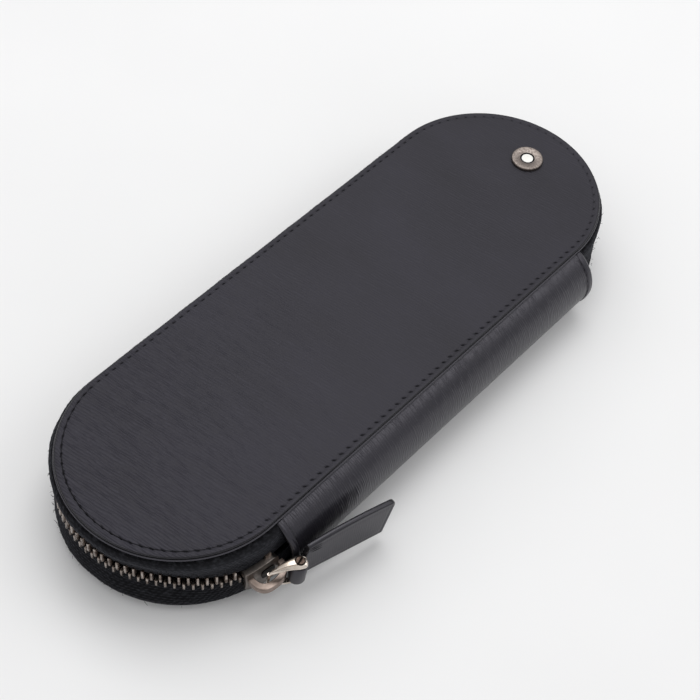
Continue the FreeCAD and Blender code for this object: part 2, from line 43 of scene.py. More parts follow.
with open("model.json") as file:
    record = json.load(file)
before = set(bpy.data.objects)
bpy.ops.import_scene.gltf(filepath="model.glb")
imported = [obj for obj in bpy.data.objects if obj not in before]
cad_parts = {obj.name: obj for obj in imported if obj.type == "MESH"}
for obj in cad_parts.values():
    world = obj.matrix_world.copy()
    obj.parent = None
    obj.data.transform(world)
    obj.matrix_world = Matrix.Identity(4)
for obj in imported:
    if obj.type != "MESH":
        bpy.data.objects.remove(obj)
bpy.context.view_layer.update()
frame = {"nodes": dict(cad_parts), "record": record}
draw = np.random.default_rng(11)

MM = 0.001
QUARTER_TURN = math.pi / 2


def box_mm(node):
    """Lowest and highest corner of a node of the frame, in millimetres."""
    return [np.array(corner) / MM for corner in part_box(node)]


# Sizes taken from the frame: the covers are long shapes with half-round ends about a middle line
panel_low, panel_high = box_mm("top_panel")
RADIUS = panel_high[0]
HALF = panel_high[1] - RADIUS
TOP = panel_high[2]
COVER = TOP - panel_low[2]
MID = TOP / 2

# The zip's path keeps a distance from the middle line, round both ends and along the side without the spine
TAPE_THICK = 0.8
TAPE_OUT = -box_mm("upper_tape")[0][0] - TAPE_THICK / 2
TAPE_EDGE = box_mm("upper_tape")[0][2] - MID
ARC_LENGTH = math.pi * TAPE_OUT
CHAIN_LENGTH = 2 * ARC_LENGTH + 2 * HALF
SPINE_HIGH = box_mm("spine_leather")[1]
JOINTS = {joint["name"]: joint for joint in frame["record"]["behaviour"]["joints"]}


# Meshes

def smoothstep(x):
    """Nought below 0, one above 1, and a smooth rise between."""
    x = np.clip(x, 0, 1)
    return x * x * (3 - 2 * x)


def bump(x):
    """A bell of height one and width one."""
    return np.exp(-x * x)


def half_circle(x):
    """Height of a half circle of radius one over a place from its middle, and nought beyond its ends."""
    return np.sqrt(np.clip(1 - x ** 2, 0, 1))


def rounded(wave, power):
    """A sine or cosine squared off: its sign kept and its size raised to a power."""
    return np.sign(wave) * np.abs(wave) ** power


def round_angles(sides):
    """Angles of a number of corners spaced evenly round a circle."""
    return 2 * math.pi * np.arange(sides) / sides


def square_to(x, z):
    """Direction square to a path in the plane of x and z, at each of its points."""
    run_x = np.gradient(x)
    run_z = np.gradient(z)
    size = np.hypot(run_x, run_z)
    return -run_z / size, run_x / size


def grid_points(x, y, z):
    """Points from their three coordinates, each stretched over the grid that they share."""
    return np.stack(np.broadcast_arrays(x, y, z), axis=-1)


def grid_faces(rows, columns, wrap_rows=False, wrap_columns=False):
    """Corner numbers of the quads between neighbours on a grid of points, kept row by row."""
    row, column = np.meshgrid(
        np.arange(rows if wrap_rows else rows - 1),
        np.arange(columns if wrap_columns else columns - 1),
        indexing="ij",
    )
    next_row = (row + 1) % rows
    next_column = (column + 1) % columns
    corners = [row * columns + column, next_row * columns + column,
               next_row * columns + next_column, row * columns + next_column]
    return np.stack(corners, axis=-1).reshape(-1, 4)


def tube_faces(rings, sides):
    """Quads round a tube of rings, and a flat cap on each end."""
    quads = grid_faces(rings, sides, wrap_columns=True).tolist()
    last = (rings - 1) * sides
    return quads + [list(range(sides)), list(range(last, last + sides))]


def copies_of(faces, points_each, count):
    """The faces of one shape repeated for a number of copies whose points follow each other."""
    return [[corner + copy * points_each for corner in face] for copy in range(count) for face in faces]


def joined(*shapes):
    """Several shapes, each its points and faces, as one list of points and one of faces."""
    points = []
    faces = []
    for shape_points, shape_faces in shapes:
        start = sum(len(part) for part in points)
        faces += [[corner + start for corner in face] for face in shape_faces]
        points.append(np.reshape(shape_points, (-1, 3)))
    return np.concatenate(points), faces


def lathe(out, up, sides=48):
    """Rings turned about the z axis, from distances out and heights up, with the faces between them."""
    turn = round_angles(sides)[None, :]
    out = np.asarray(out, float)[:, None]
    up = np.asarray(up, float)[:, None]
    return grid_points(out * np.cos(turn), out * np.sin(turn), up), tube_faces(len(out), sides)


def disc(radius, low, high, sides):
    """A plain disc or rod about the z axis, between two heights."""
    return lathe([0, radius, radius, 0], [low, low, high, high], sides)


def make_piece(name, points, faces, material, body, slot, replaces=(), uv=None, marks=None, sharp=40.0):
    """A closed mesh from points in millimetres. Doubles are merged and the faces turned outwards. uv holds
    two lengths in millimetres for each point, and marks maps an attribute's name to a number for each.
    Edges sharper than an angle in degrees stay sharp."""
    mesh = bpy.data.meshes.new(name)
    points = np.asarray(points, float).reshape(-1, 3)
    faces = faces.tolist() if isinstance(faces, np.ndarray) else faces
    mesh.from_pydata((points * MM).tolist(), [], faces)
    if uv is not None:
        corner = np.empty(len(mesh.loops), np.int32)
        mesh.loops.foreach_get("vertex_index", corner)
        layer = mesh.uv_layers.new(name="UVMap")
        layer.data.foreach_set("uv", np.asarray(uv, np.float32).reshape(-1, 2)[corner].ravel())
    for mark, numbers in (marks or {}).items():
        layer = mesh.attributes.new(mark, "FLOAT", "POINT")
        layer.data.foreach_set("value", np.asarray(numbers, np.float32).ravel())
    work = bmesh.new()
    work.from_mesh(mesh)
    bmesh.ops.remove_doubles(work, verts=work.verts, dist=1e-7)
    bmesh.ops.recalc_face_normals(work, faces=work.faces)
    work.to_mesh(mesh)
    work.free()
    mesh.polygons.foreach_set("use_smooth", np.ones(len(mesh.polygons), bool))
    mesh.set_sharp_from_angle(angle=math.radians(sharp))
    mesh.materials.append(material)
    piece = bpy.data.objects.new(name, mesh)
    bpy.context.scene.collection.objects.link(piece)
    if body:
        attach(piece, body)
    if replaces:
        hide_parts(*replaces)
    return piece


def soften(piece, width):
    """Round a piece's sharp edges with a bevel of this width in millimetres."""
    bevel = piece.modifiers.new("edges", "BEVEL")
    bevel.width = width * MM
    bevel.segments = 2
    bevel.limit_method = "ANGLE"
    bevel.harden_normals = True


# Materials

# Sockets of a node that mixes two colours, and of one that mixes two numbers
SHARE, UNDER, OVER, MIXED = 0, 6, 7, 2
UNDER_NUMBER, OVER_NUMBER = 2, 3

# A wave texture at this scale has one band in each cell of its coordinates
ONE_BAND = 2 * math.pi / 20

# Length along the tape's section, from its sewn edge, near its bend, where a painted highlight lies
BEND_HIGHLIGHT_RUN = 7.0


def colour(code):
    """An sRGB hex colour as linear red, green, blue and alpha."""
    parts = [int(code[place:place + 2], 16) / 255 for place in (1, 3, 5)]
    return [part / 12.92 if part <= 0.04045 else ((part + 0.055) / 1.055) ** 2.4 for part in parts] + [1.0]


def add(tree, kind, inputs=None, output=0, stops=(), **settings):
    """One output of a new node, with its settings made and its inputs set to values or linked to other
    nodes' outputs. A ramp also has stops, each a place and a hex colour."""
    made = tree.nodes.new(kind)
    for name, setting in settings.items():
        setattr(made, name, setting)
    for socket, given in (inputs or {}).items():
        if isinstance(given, bpy.types.NodeSocket):
            tree.links.new(given, made.inputs[socket])
        else:
            made.inputs[socket].default_value = given
    for number, (place, code) in enumerate(stops):
        ramp = made.color_ramp.elements
        element = ramp[number] if number < len(ramp) else ramp.new(place)
        element.position = place
        element.color = colour(code)
    return made.outputs[output]


def new_material(name, **constants):
    """A material with its shader's constant sockets set, such as Roughness."""
    material = bpy.data.materials.new(name)
    material.use_nodes = True
    shader = material.node_tree.nodes["Principled BSDF"]
    for socket, number in constants.items():
        shader.inputs[socket.replace("_", " ")].default_value = number
    return material, material.node_tree, shader


def lead(tree, shader, **outputs):
    """Link outputs to the shader's sockets that they are named for."""
    for socket, output in outputs.items():
        tree.links.new(output, shader.inputs[socket.replace("_", " ")])


def millimetres(tree, cells):
    """Object coordinates counted in cells of these sizes in millimetres, one size for each axis."""
    place = add(tree, "ShaderNodeTexCoord", output="Object")
    return add(tree, "ShaderNodeVectorMath", {0: place, 1: [1 / (size * MM) for size in cells]},
               operation="MULTIPLY")


def lined_leather(name, roughness, ior, dark, light, line_width, relief_depth, lines_fade_from_left=False):
    """Calf leather pressed with fine lines that run across the case: a satin charcoal whose lines stand in
    relief and are lightened in colour as a painted highlight along their ridges, with black painted edges,
    a pale painted highlight on the lower layer of an edge glued from two, and painted shade in needle holes
    and in the crack between the layers, with the seam's black thread. Optionally the lines' relief and
    painted highlight fade away from the near left end, where the light catches them most. Lines and relief
    are in millimetres."""
    material, tree, shader = new_material(name, IOR=ior, Specular_Tint=colour("#f6f3ff"))
    line_tilt = math.radians(8)
    drift = add(tree, "ShaderNodeTexNoise",
                {"Vector": millimetres(tree, (11, 3.2, 11)), "Scale": 1.0, "Detail": 2.0})
    shift = add(tree, "ShaderNodeMapRange", {"Value": drift, "To Min": -1.2, "To Max": 1.2})
    level = add(tree, "ShaderNodeVectorRotate", {"Vector": millimetres(tree, (1, 1, 1)), "Angle": -line_tilt})
    place = add(tree, "ShaderNodeVectorMath", {0: level, 1: (1, 1 / line_width, 1)}, operation="MULTIPLY")
    shift_y = add(tree, "ShaderNodeCombineXYZ", {"Y": shift})
    bent = add(tree, "ShaderNodeVectorMath", {0: place, 1: shift_y}, operation="ADD")
    lines = add(tree, "ShaderNodeTexWave", {"Vector": bent, "Scale": ONE_BAND, "Distortion": 0.0},
                bands_direction="Y")
    breaks = add(tree, "ShaderNodeTexNoise",
                 {"Vector": millimetres(tree, (3.4, 0.8, 3.4)), "Scale": 1.0, "Detail": 3.0})
    strength = add(tree, "ShaderNodeMapRange", {"Value": breaks, "From Min": 0.3, "From Max": 0.66})
    # Fade the lines away from the near left end: their relief, and their painted highlight that stands for
    # the light caught there
    if lines_fade_from_left:
        from_left = add(tree, "ShaderNodeVectorMath", {0: millimetres(tree, (1, 1, 1)), 1: (0.8, 1, 0)},
                        output="Value", operation="DOT_PRODUCT")
        crisp = add(tree, "ShaderNodeMapRange",
                    {"Value": from_left, "From Min": -80, "From Max": 0, "To Min": 1.6, "To Max": 0.4})
        strength = add(tree, "ShaderNodeMath", {0: strength, 1: crisp}, operation="MULTIPLY")
    ridges = add(tree, "ShaderNodeMath", {0: lines, 1: strength}, operation="MULTIPLY")
    pores = add(tree, "ShaderNodeTexNoise",
                {"Vector": millimetres(tree, (0.3, 0.22, 0.3)), "Scale": 1.0, "Detail": 2.0})
    relief = add(tree, "ShaderNodeMath", {0: pores, 1: 0.35, 2: ridges}, operation="MULTIPLY_ADD")
    clouds = add(tree, "ShaderNodeTexNoise",
                 {"Vector": millimetres(tree, (26, 18, 26)), "Scale": 1.0, "Detail": 3.0})
    # The lines lighten the colour along their ridges as a painted highlight, over a random cloudy tone
    tone = add(tree, "ShaderNodeMath", {0: ridges, 1: 0.6, 2: clouds}, operation="MULTIPLY_ADD")
    edge, band, hole = (add(tree, "ShaderNodeAttribute", output="Fac", attribute_name=mark)
                        for mark in ("edge", "band", "hole"))
    hide = add(tree, "ShaderNodeValToRGB", {0: tone}, stops=((0.25, dark), (0.95, light)))
    # Painted over the hide: black edge paint; band, a pale line painted as a highlight on the lower layer of
    # a glued edge; hole, painted shade in needle holes and creases, with the black of a seam's thread
    for share, code in ((edge, "#161618"), (band, "#414045"), (hole, "#050506")):
        hide = add(tree, "ShaderNodeMix", {SHARE: share, UNDER: hide, OVER: colour(code)}, MIXED,
                   data_type="RGBA")
    gloss = add(tree, "ShaderNodeMath", {0: clouds, 1: 0.12, 2: roughness - 0.06}, operation="MULTIPLY_ADD")
    edge_gloss = add(tree, "ShaderNodeMix", {SHARE: edge, UNDER_NUMBER: gloss, OVER_NUMBER: 0.27},
                     data_type="FLOAT")
    plain = add(tree, "ShaderNodeMath", {0: 1.0, 1: edge}, operation="SUBTRACT")
    relief_here = add(tree, "ShaderNodeMath", {0: relief, 1: plain}, operation="MULTIPLY")
    normal = add(tree, "ShaderNodeBump",
                 {"Strength": 0.8, "Distance": relief_depth * MM, "Height": relief_here})
    lead(tree, shader, Base_Color=hide, Roughness=edge_gloss, Normal=normal)
    return material


def woven_tape(name, bend_highlight):
    """Polyester zip tape in a fine twill: dull black with the bluish sheen of spun thread and pale specks of
    lint, and a painted highlight in the lint's colour that may lighten it where it bends under the cover.
    The thread is drawn coarse enough to show."""
    material, tree, shader = new_material(name, Roughness=0.92, Specular_IOR_Level=0.08, Sheen_Weight=0.07,
                                          Sheen_Roughness=0.45, Sheen_Tint=colour("#dfe2f2"))
    thread = 0.75
    uv = add(tree, "ShaderNodeTexCoord", output="UV")
    cells = add(tree, "ShaderNodeVectorMath", {0: uv, 1: (1 / thread, 1 / thread, 1)}, operation="MULTIPLY")
    twill = add(tree, "ShaderNodeTexWave",
                {"Vector": cells, "Scale": ONE_BAND, "Distortion": 1.2, "Detail": 2.0},
                bands_direction="DIAGONAL")
    rows = add(tree, "ShaderNodeTexWave", {"Vector": cells, "Scale": ONE_BAND, "Distortion": 0.8},
               bands_direction="Y")
    weave = add(tree, "ShaderNodeMath", {0: twill, 1: rows}, operation="MULTIPLY")
    fuzz = add(tree, "ShaderNodeTexNoise",
               {"Vector": millimetres(tree, (0.5, 0.5, 0.5)), "Scale": 1.0, "Detail": 4.0})
    lint = add(tree, "ShaderNodeTexNoise",
               {"Vector": millimetres(tree, (1.5, 1.5, 0.9)), "Scale": 1.0, "Detail": 3.0, "Roughness": 0.6})
    run = add(tree, "ShaderNodeSeparateXYZ", {0: uv}, output="Y")
    from_bend = add(tree, "ShaderNodeMath", {0: run, 1: BEND_HIGHLIGHT_RUN}, operation="SUBTRACT")
    from_bend = add(tree, "ShaderNodeMath", {0: from_bend}, operation="ABSOLUTE")
    # A painted highlight: the lint's pale colour laid along the tape's bend, standing for light on its
    # shoulder
    painted_bend_highlight = add(tree, "ShaderNodeMapRange",
                   {"Value": from_bend, "From Min": 0.3, "From Max": 2.6, "To Min": bend_highlight, "To Max": 0.0})
    lint_and_bend_highlight = add(tree, "ShaderNodeMapRange",
                 {"Value": lint, "From Min": 0.5, "From Max": 0.8, "To Max": 0.35})
    lint_and_bend_highlight = add(tree, "ShaderNodeMath", {0: lint_and_bend_highlight, 1: painted_bend_highlight}, operation="ADD")
    base = add(tree, "ShaderNodeValToRGB", {0: weave}, stops=((0.1, "#0b0b0d"), (0.9, "#17171a")))
    lint_and_highlight_mix = add(tree, "ShaderNodeMix", {SHARE: lint_and_bend_highlight, UNDER: base, OVER: colour("#434449")}, MIXED,
                 data_type="RGBA")
    height = add(tree, "ShaderNodeMath", {0: fuzz, 1: 0.9, 2: weave}, operation="MULTIPLY_ADD")
    normal = add(tree, "ShaderNodeBump", {"Strength": 0.9, "Distance": 0.16 * MM, "Height": height})
    lead(tree, shader, Base_Color=lint_and_highlight_mix, Normal=normal)
    return material


def worn_metal(name, dark, light, roughness, grain, cloud=1.6):
    """Cast metal that is tumbled and rubbed: its colour and gloss drift in clouds, with fine marks, each of
    a size in millimetres."""
    material, tree, shader = new_material(name, Metallic=1.0)
    tarnish = add(tree, "ShaderNodeTexNoise",
                  {"Vector": millimetres(tree, (cloud, cloud, cloud)), "Scale": 1.0, "Detail": 4.0})
    tone = add(tree, "ShaderNodeValToRGB", {0: tarnish}, stops=((0.35, dark), (0.62, light)))
    gloss = add(tree, "ShaderNodeMapRange", {"Value": tarnish, "From Min": 0.3, "From Max": 0.7,
                                             "To Min": roughness + 0.1, "To Max": roughness - 0.06})
    marks = add(tree, "ShaderNodeTexNoise",
                {"Vector": millimetres(tree, (grain, grain, grain)), "Scale": 1.0, "Detail": 3.0})
    normal = add(tree, "ShaderNodeBump", {"Strength": 0.35, "Distance": 0.02 * MM, "Height": marks})
    lead(tree, shader, Base_Color=tone, Roughness=gloss, Normal=normal)
    return material


def mottled_stuff(name, dark, light, roughness, cells, depth, strength=0.7, detail=3.0, **constants):
    """A matt stuff whose colour and relief share a fine mottle: cells gives the mottle's size along each
    axis and depth its relief, in millimetres."""
    material, tree, shader = new_material(name, Roughness=roughness, **constants)
    mottle = add(tree, "ShaderNodeTexNoise",
                 {"Vector": millimetres(tree, cells), "Scale": 1.0, "Detail": detail})
    tone = add(tree, "ShaderNodeValToRGB", {0: mottle}, stops=((0.3, dark), (0.7, light)))
    normal = add(tree, "ShaderNodeBump", {"Strength": strength, "Distance": depth * MM, "Height": mottle})
    lead(tree, shader, Base_Color=tone, Normal=normal)
    return material


# Dry calf on the covers: a satin grey sheen over near black, with lines whose relief and painted
# highlight fade from the near left end
panel_leather = lined_leather("lined_calf_leather", 0.5, 1.39, "#100f14", "#26252c", line_width=0.78,
                              relief_depth=0.095, lines_fade_from_left=True)
# The same calf rubbed to a polish on the spine: brighter towards the light and mirroring the table
spine_hide = lined_leather("lined_calf_leather_polished", 0.31, 1.57, "#18171b", "#212025", line_width=0.65,
                           relief_depth=0.09)
# The tab's calf, worn smooth by handling
tab_hide = lined_leather("lined_calf_leather_tab", 0.42, 1.52, "#1b1a1f", "#26252a", line_width=0.6,
                         relief_depth=0.04)
# Tape below the chain, and tape above it with a painted highlight along its bend; both flecked with lint
tape_cloth = woven_tape("woven_polyester_tape", 0.0)
bend_highlit_cloth = woven_tape("polyester_tape_painted_bend_highlight", 0.3)
# Teeth and stops in warm grey nickel with bright rubbed faces
zip_nickel = worn_metal("antique_nickel_zip", "#64574f", "#b7ada6", 0.3, 0.25)
# The slider's jaws, duller and darker than the teeth
slider_nickel = worn_metal("antique_nickel_slider", "#5b5551", "#7d7671", 0.34, 0.3, cloud=3.0)
# Its bridge, rubbed to a soft pinkish grey
bridge_metal = worn_metal("rubbed_nickel_bridge", "#7f726a", "#998b83", 0.38, 0.3, cloud=3.0)
# The shackle, the brightest metal: a clear warm shine
pull_silver = worn_metal("polished_nickel_silver", "#c2b6a9", "#d8cec4", 0.22, 0.5, cloud=4.0)
# The pin's head, brown and glossy, over a near-black disc of painted shade
pin_metal = worn_metal("turned_nickel_pin", "#3b312c", "#594c45", 0.25, 0.3)
# Near-black metal for painted shade: a disc round the pin's head and a plug on the slider's plate
shade_black = worn_metal("painted_shade_black", "#15120f", "#241f1b", 0.5, 0.3)
# The rivet: a grainy grey disc, with a black ring round a clean white dot
pewter = worn_metal("brushed_pewter", "#736a65", "#8b827c", 0.36, 0.18, cloud=0.6)
ring_enamel = worn_metal("oxidised_ring", "#141416", "#26262a", 0.45, 0.3)
ivory = mottled_stuff("ivory_resin", "#e9e7e1", "#f2f1ec", 0.3, (1.5, 1.5, 1.5), 0.01)
# Waxed polyester thread: nearly black and dull, darker in its twist
thread_black = mottled_stuff("bonded_black_thread", "#0a0a0b", "#1f1f22", 0.8, (0.3, 0.3, 0.3), 0.05,
                             strength=0.6, detail=2.0, Specular_IOR_Level=0.12)
# Pressed board with visible fibre, and the black cloth and ribbed elastic of the inside
fibre_board = mottled_stuff("grey_fibre_board", "#4b4843", "#605c56", 0.9, (0.8, 0.8, 0.3), 0.06)
lining_cloth = mottled_stuff("black_lining_cloth", "#121214", "#242428", 0.85, (0.6, 0.6, 0.6), 0.08)
elastic_web = mottled_stuff("ribbed_black_elastic", "#0f0f11", "#222226", 0.8, (0.5, 1.4, 0.5), 0.08)


# Covers: the outline is walked clockwise from the spine's near end, counted in stitches

ARC_STITCHES = 34
SIDE_STITCHES = 46
STITCHES = 2 * (ARC_STITCHES + SIDE_STITCHES)
PITCH = 2 * HALF / SIDE_STITCHES
SEAM_INSET = 1.85
SEAM_INSET_NEAR = 2.5
SLANT_MEAN = math.radians(22)
SLANT_SWING = math.radians(14)
STITCH_LENGTH = 1.7
STITCH_RADIUS = 0.145
STITCH_RISE = 0.13
STITCH_SINK = 0.1
STITCH_DIP = 0.12
HOLE_LENGTH = 0.68
HOLE_WIDTH = 0.15
HOLE_DEPTH = 0.3
COLUMNS_EACH = 10

# The cover's edge: rows round it, its height, and the place and size of the crack between its two layers
EDGE_ROWS = 27
EDGE_TALL = COVER - 0.1
CRACK_PLACE = 0.53
CRACK_WIDTH = 0.075
CRACK_DEPTH = 0.42


def rim_hub(count):
    """Point on the middle line and direction away from it, for places counted in stitches."""
    near, left, far, right = (
        np.clip(count - start, 0, length) / length
        for start, length in ((0, ARC_STITCHES), (ARC_STITCHES, SIDE_STITCHES),
                              (ARC_STITCHES + SIDE_STITCHES, ARC_STITCHES),
                              (2 * ARC_STITCHES + SIDE_STITCHES, SIDE_STITCHES))
    )
    return HALF * (2 * left - 2 * right - 1), -math.pi * (near + far)


def from_hub(hub, angle, out, height):
    """Points at a distance out from the middle line, at a height."""
    return grid_points(out * np.cos(angle), hub + out * np.sin(angle), height)


def near_share(angle):
    """One at the tip of the near end, falling to nought along both sides."""
    return np.clip(-np.sin(angle), 0, 1)


def seam_inset(angle):
    """Distance of the seam from the cover's edge, a little wider round the near end."""
    return SEAM_INSET + (SEAM_INSET_NEAR - SEAM_INSET) * near_share(angle) ** 2


def stitch_slant(angle):
    """How far the holes are turned from the seam: most along the spine and least on the side across."""
    return SLANT_MEAN + SLANT_SWING * np.cos(angle)


def stitch_size(angle):
    """Size of a stitch against the largest: smaller on the side across, and drawn tight round the far end."""
    return 0.92 + 0.08 * np.cos(angle) - 0.42 * np.clip(np.sin(angle), 0, 1) ** 0.7


def cover_height(inset, seam):
    """Height of a cover's outer face over its inner one: a bead outside the seam, a faint groove along
    the seam and a slight swell towards the middle."""
    bead = 0.1 * bump((inset - seam + 0.9) / 0.6)
    groove = 0.07 * bump((inset - seam) / 0.3)
    return EDGE_TALL + bead - groove + 0.1 * smoothstep((inset - seam - 0.5) / 6)


def edge_profile(turn):
    """How far the cover's edge stands in from its outline, from its inner face at nought to its outer one at
    one: two glued layers, each with a round of its own, the inner one further out, and a crack between."""
    crack = bump((turn - CRACK_PLACE) / CRACK_WIDTH)
    lower_round = 0.3 * (1 - half_circle((turn - 0.26) / 0.27))
    upper_round = 0.32 + 0.28 * (1 - half_circle((turn - 0.78) / 0.26))
    return np.where(turn < CRACK_PLACE, lower_round, upper_round) + CRACK_DEPTH * crack, crack


def cover(name, low, up, body, replaced):
    """Outer leather: rows run from the middle of the inner face out to the edge, round it and back to the
    middle of the outer face, where they lie close about the seam. A thread lies in the seam between the
    stitches, and shows most round the near end."""
    count = np.arange(STITCHES * COLUMNS_EACH) / COLUMNS_EACH
    hub, angle = rim_hub(count)
    turn = np.linspace(0, 1, EDGE_ROWS)
    round_off, crack = edge_profile(turn)
    inner_face = [RADIUS, 8.0, 1.2]
    outer_face = np.concatenate([[0.52, 0.68, 0.85, 1.05], np.arange(1.2, 3.2, 0.13),
                                 [3.6, 4.2, 5.5, 8, 12, 17, 22, RADIUS]])

    def on_edge(numbers):
        """Numbers for the rows of the edge, with nought for the rows of both faces."""
        return np.concatenate([np.zeros(len(inner_face)), numbers, np.zeros(len(outer_face))])[:, None]

    inset = np.concatenate([inner_face, round_off, outer_face])[:, None]
    outer = (np.arange(len(inset)) >= len(inner_face) + EDGE_ROWS)[:, None]
    seam = seam_inset(angle)[None, :]
    rise = np.where(outer, cover_height(inset, seam), on_edge(EDGE_TALL * turn))
    gap = (count - np.round(count))[None, :] * PITCH
    across = inset - seam
    slant = stitch_slant(angle)[None, :]
    size = stitch_size(angle)[None, :]
    lengthwise = gap * np.cos(slant) + across * np.sin(slant)
    sideways = across * np.cos(slant) - gap * np.sin(slant)
    hole = size * bump(lengthwise / (HOLE_LENGTH * size)) * bump(sideways / HOLE_WIDTH) * outer
    points = from_hub(hub[None, :], angle[None, :], RADIUS - inset, low + up * (rise - HOLE_DEPTH * hole))
    whole = np.ones_like(hole)
    thread = (0.22 + 0.6 * near_share(angle) ** 2)[None, :] * bump(across / 0.12) * outer
    marks = {
        "edge": np.where(outer, 1 - smoothstep((inset - 0.5) / 0.35), 1.0) * whole,
        # hole: painted shade in the needle holes and in the crack between the edge's layers, and a dark line
        # for the black thread along the seam
        "hole": np.maximum(np.maximum(hole, thread), 0.9 * on_edge(crack)),
        # band: a pale painted highlight on the round of the edge's lower layer
        "band": on_edge(smoothstep((turn - 0.14) / 0.1) * (turn < 0.45)) * whole,
    }
    faces = grid_faces(len(inset), len(count), wrap_columns=True)
    make_piece(name, points, faces, panel_leather, body, "grained_leather", replaced, marks=marks)


def seam(name, low, up, body):
    """Stitches along a cover's seam: each a short thread that lies slantwise in its hole, thick in the
    middle and sinking at both ends. Round the near end a running thread shows between them."""
    rings = 7
    sides = 6
    stitch = np.arange(STITCHES)[:, None, None]
    part = np.linspace(-1, 1, rings)[None, :, None]
    turn = round_angles(sides)[None, None, :]
    angle = rim_hub(stitch)[1]
    slant = stitch_slant(angle)
    size = stitch_size(angle)
    lengthwise = STITCH_LENGTH / 2 * part * size
    hub, angle = rim_hub(stitch + lengthwise * np.cos(slant) / PITCH)
    middle = np.sqrt(1 - 0.9 * part ** 2) * size
    depth = seam_inset(angle)
    lift = cover_height(depth, depth) - STITCH_SINK - STITCH_DIP * part ** 2
    out = RADIUS - depth - lengthwise * np.sin(slant) + STITCH_RADIUS * middle * np.cos(turn)
    height = low + up * (lift + STITCH_RISE * middle * np.sin(turn))
    points = from_hub(hub, angle, out, height)
    stitches = points, copies_of(tube_faces(rings, sides), rings * sides, STITCHES)
    hub, angle = rim_hub(np.linspace(1, ARC_STITCHES - 1, 4 * ARC_STITCHES)[:, None])
    depth = seam_inset(angle)
    thin = 0.03 + 0.09 * near_share(angle)
    out = RADIUS - depth + thin * np.cos(turn[0])
    height = low + up * (cover_height(depth, depth) + 0.3 * thin + thin * np.sin(turn[0]))
    running = from_hub(hub, angle, out, height)
    points, faces = joined(stitches, (running, tube_faces(*running.shape[:2])))
    make_piece(name, points, faces, thread_black, body, "grained_leather")


cover("upper_cover", TOP - COVER, 1, "lid", ["top_panel"])
seam("upper_seam", TOP - COVER, 1, "lid")
cover("lower_cover", COVER, -1, "base", ["bottom_panel"])
seam("lower_seam", COVER, -1, "base")


# Spine: a leather band bent to an arc, with a turned and sewn hem at each end

SPINE_BULGE = SPINE_HIGH[0] - RADIUS
SPINE_HALF = (SPINE_HIGH[2] - COVER) / 2
SPINE_MID = (SPINE_HIGH[2] + COVER) / 2
SPINE_RADIUS = (SPINE_HALF ** 2 + SPINE_BULGE ** 2) / (2 * SPINE_BULGE)
SPINE_HUB = RADIUS + SPINE_BULGE - SPINE_RADIUS
SPINE_SWEEP = math.asin(SPINE_HALF / SPINE_RADIUS)
SPINE_THICK = 1.2
SPINE_SHIFT = 1.3
END_ROUND = 0.7
HEM = 2.15
HEM_STITCHES = 13


def on_spine(out, bow, y):
    """Points at a distance out from the spine's hub and an angle round it."""
    return grid_points(SPINE_HUB + out * np.cos(bow), y, SPINE_MID + out * np.sin(bow))


def spine_shell():
    """A closed band: rows go round its section, up the outside and down the inside, and columns run
    along the case. Near each end the outside swells into a hem with a groove at its seam, and both sides
    close in a half round."""
    fine = HALF - np.concatenate([np.linspace(0, 1, 9) ** 2 * END_ROUND, np.arange(0.9, 4.4, 0.2)])
    coarse = np.linspace(HALF - 4.6, 0, 30)
    y = np.concatenate([fine, coarse])
    y = np.concatenate([y, -y[-2::-1]])
    end = HALF - np.abs(y)
    hem = 0.3 * (1 - smoothstep((end - HEM + 0.4) / 0.6)) - 0.1 * bump((end - HEM) / 0.18)
    rounding = half_circle(1 - np.clip(end / END_ROUND, 0, 1))
    sweep = np.linspace(-SPINE_SWEEP, SPINE_SWEEP, 61)
    lengthwise = (sweep * SPINE_RADIUS)[:, None]
    spacing = 2 * SPINE_SWEEP * SPINE_RADIUS / HEM_STITCHES
    gap = lengthwise - spacing * np.round(lengthwise / spacing)
    # The hem's seam: a groove with needle holes, dented into the outside and painted dark through the hole
    # mark as painted shade
    hole = np.maximum(bump(gap / 0.4), 0.4) * bump((end[None, :] - HEM) / 0.13)
    middle = SPINE_RADIUS - SPINE_THICK / 2
    outside = middle + SPINE_THICK / 2 * rounding[None, :] + hem[None, :] - 0.1 * hole
    inside = np.broadcast_to(middle - SPINE_THICK / 2 * rounding[None, :], outside.shape)
    out = np.concatenate([outside, inside[::-1]])
    bow = np.concatenate([sweep, sweep[::-1]])[:, None]
    points = on_spine(out, bow, y[None, :] + SPINE_SHIFT)
    edge = np.broadcast_to(0.8 * (1 - smoothstep(end / 0.5))[None, :], out.shape)
    holes = np.concatenate([hole, np.zeros_like(hole)])
    make_piece("spine_band", points, grid_faces(*out.shape, wrap_rows=True), spine_hide, "base",
               "grained_leather", ["spine_leather"], marks={"edge": edge, "hole": holes})


def hem_seams():
    """Stitches of the two hems: fine threads laid round the spine's arc in scallops between its holes."""
    rings = 7
    sides = 6
    side = np.array([-1, 1])[:, None, None, None]
    stitch = np.arange(HEM_STITCHES)[None, :, None, None]
    part = np.linspace(0, 1, rings)[None, None, :, None]
    turn = round_angles(sides)[None, None, None, :]
    spacing = 2 * SPINE_SWEEP / HEM_STITCHES
    bow = -SPINE_SWEEP + spacing * (stitch + 0.1 + 0.8 * part)
    arch = np.sin(math.pi * part)
    thick = 0.09 * (0.55 + 0.45 * arch)
    out = SPINE_RADIUS - 0.12 + 0.12 * arch ** 0.7 + thick * np.sin(turn)
    y = side * (HALF - HEM + 0.16 * arch + thick * np.cos(turn)) + SPINE_SHIFT
    faces = copies_of(tube_faces(rings, sides), rings * sides, 2 * HEM_STITCHES)
    make_piece("hem_seams", on_spine(out, bow, y), faces, thread_black, "base", "grained_leather")


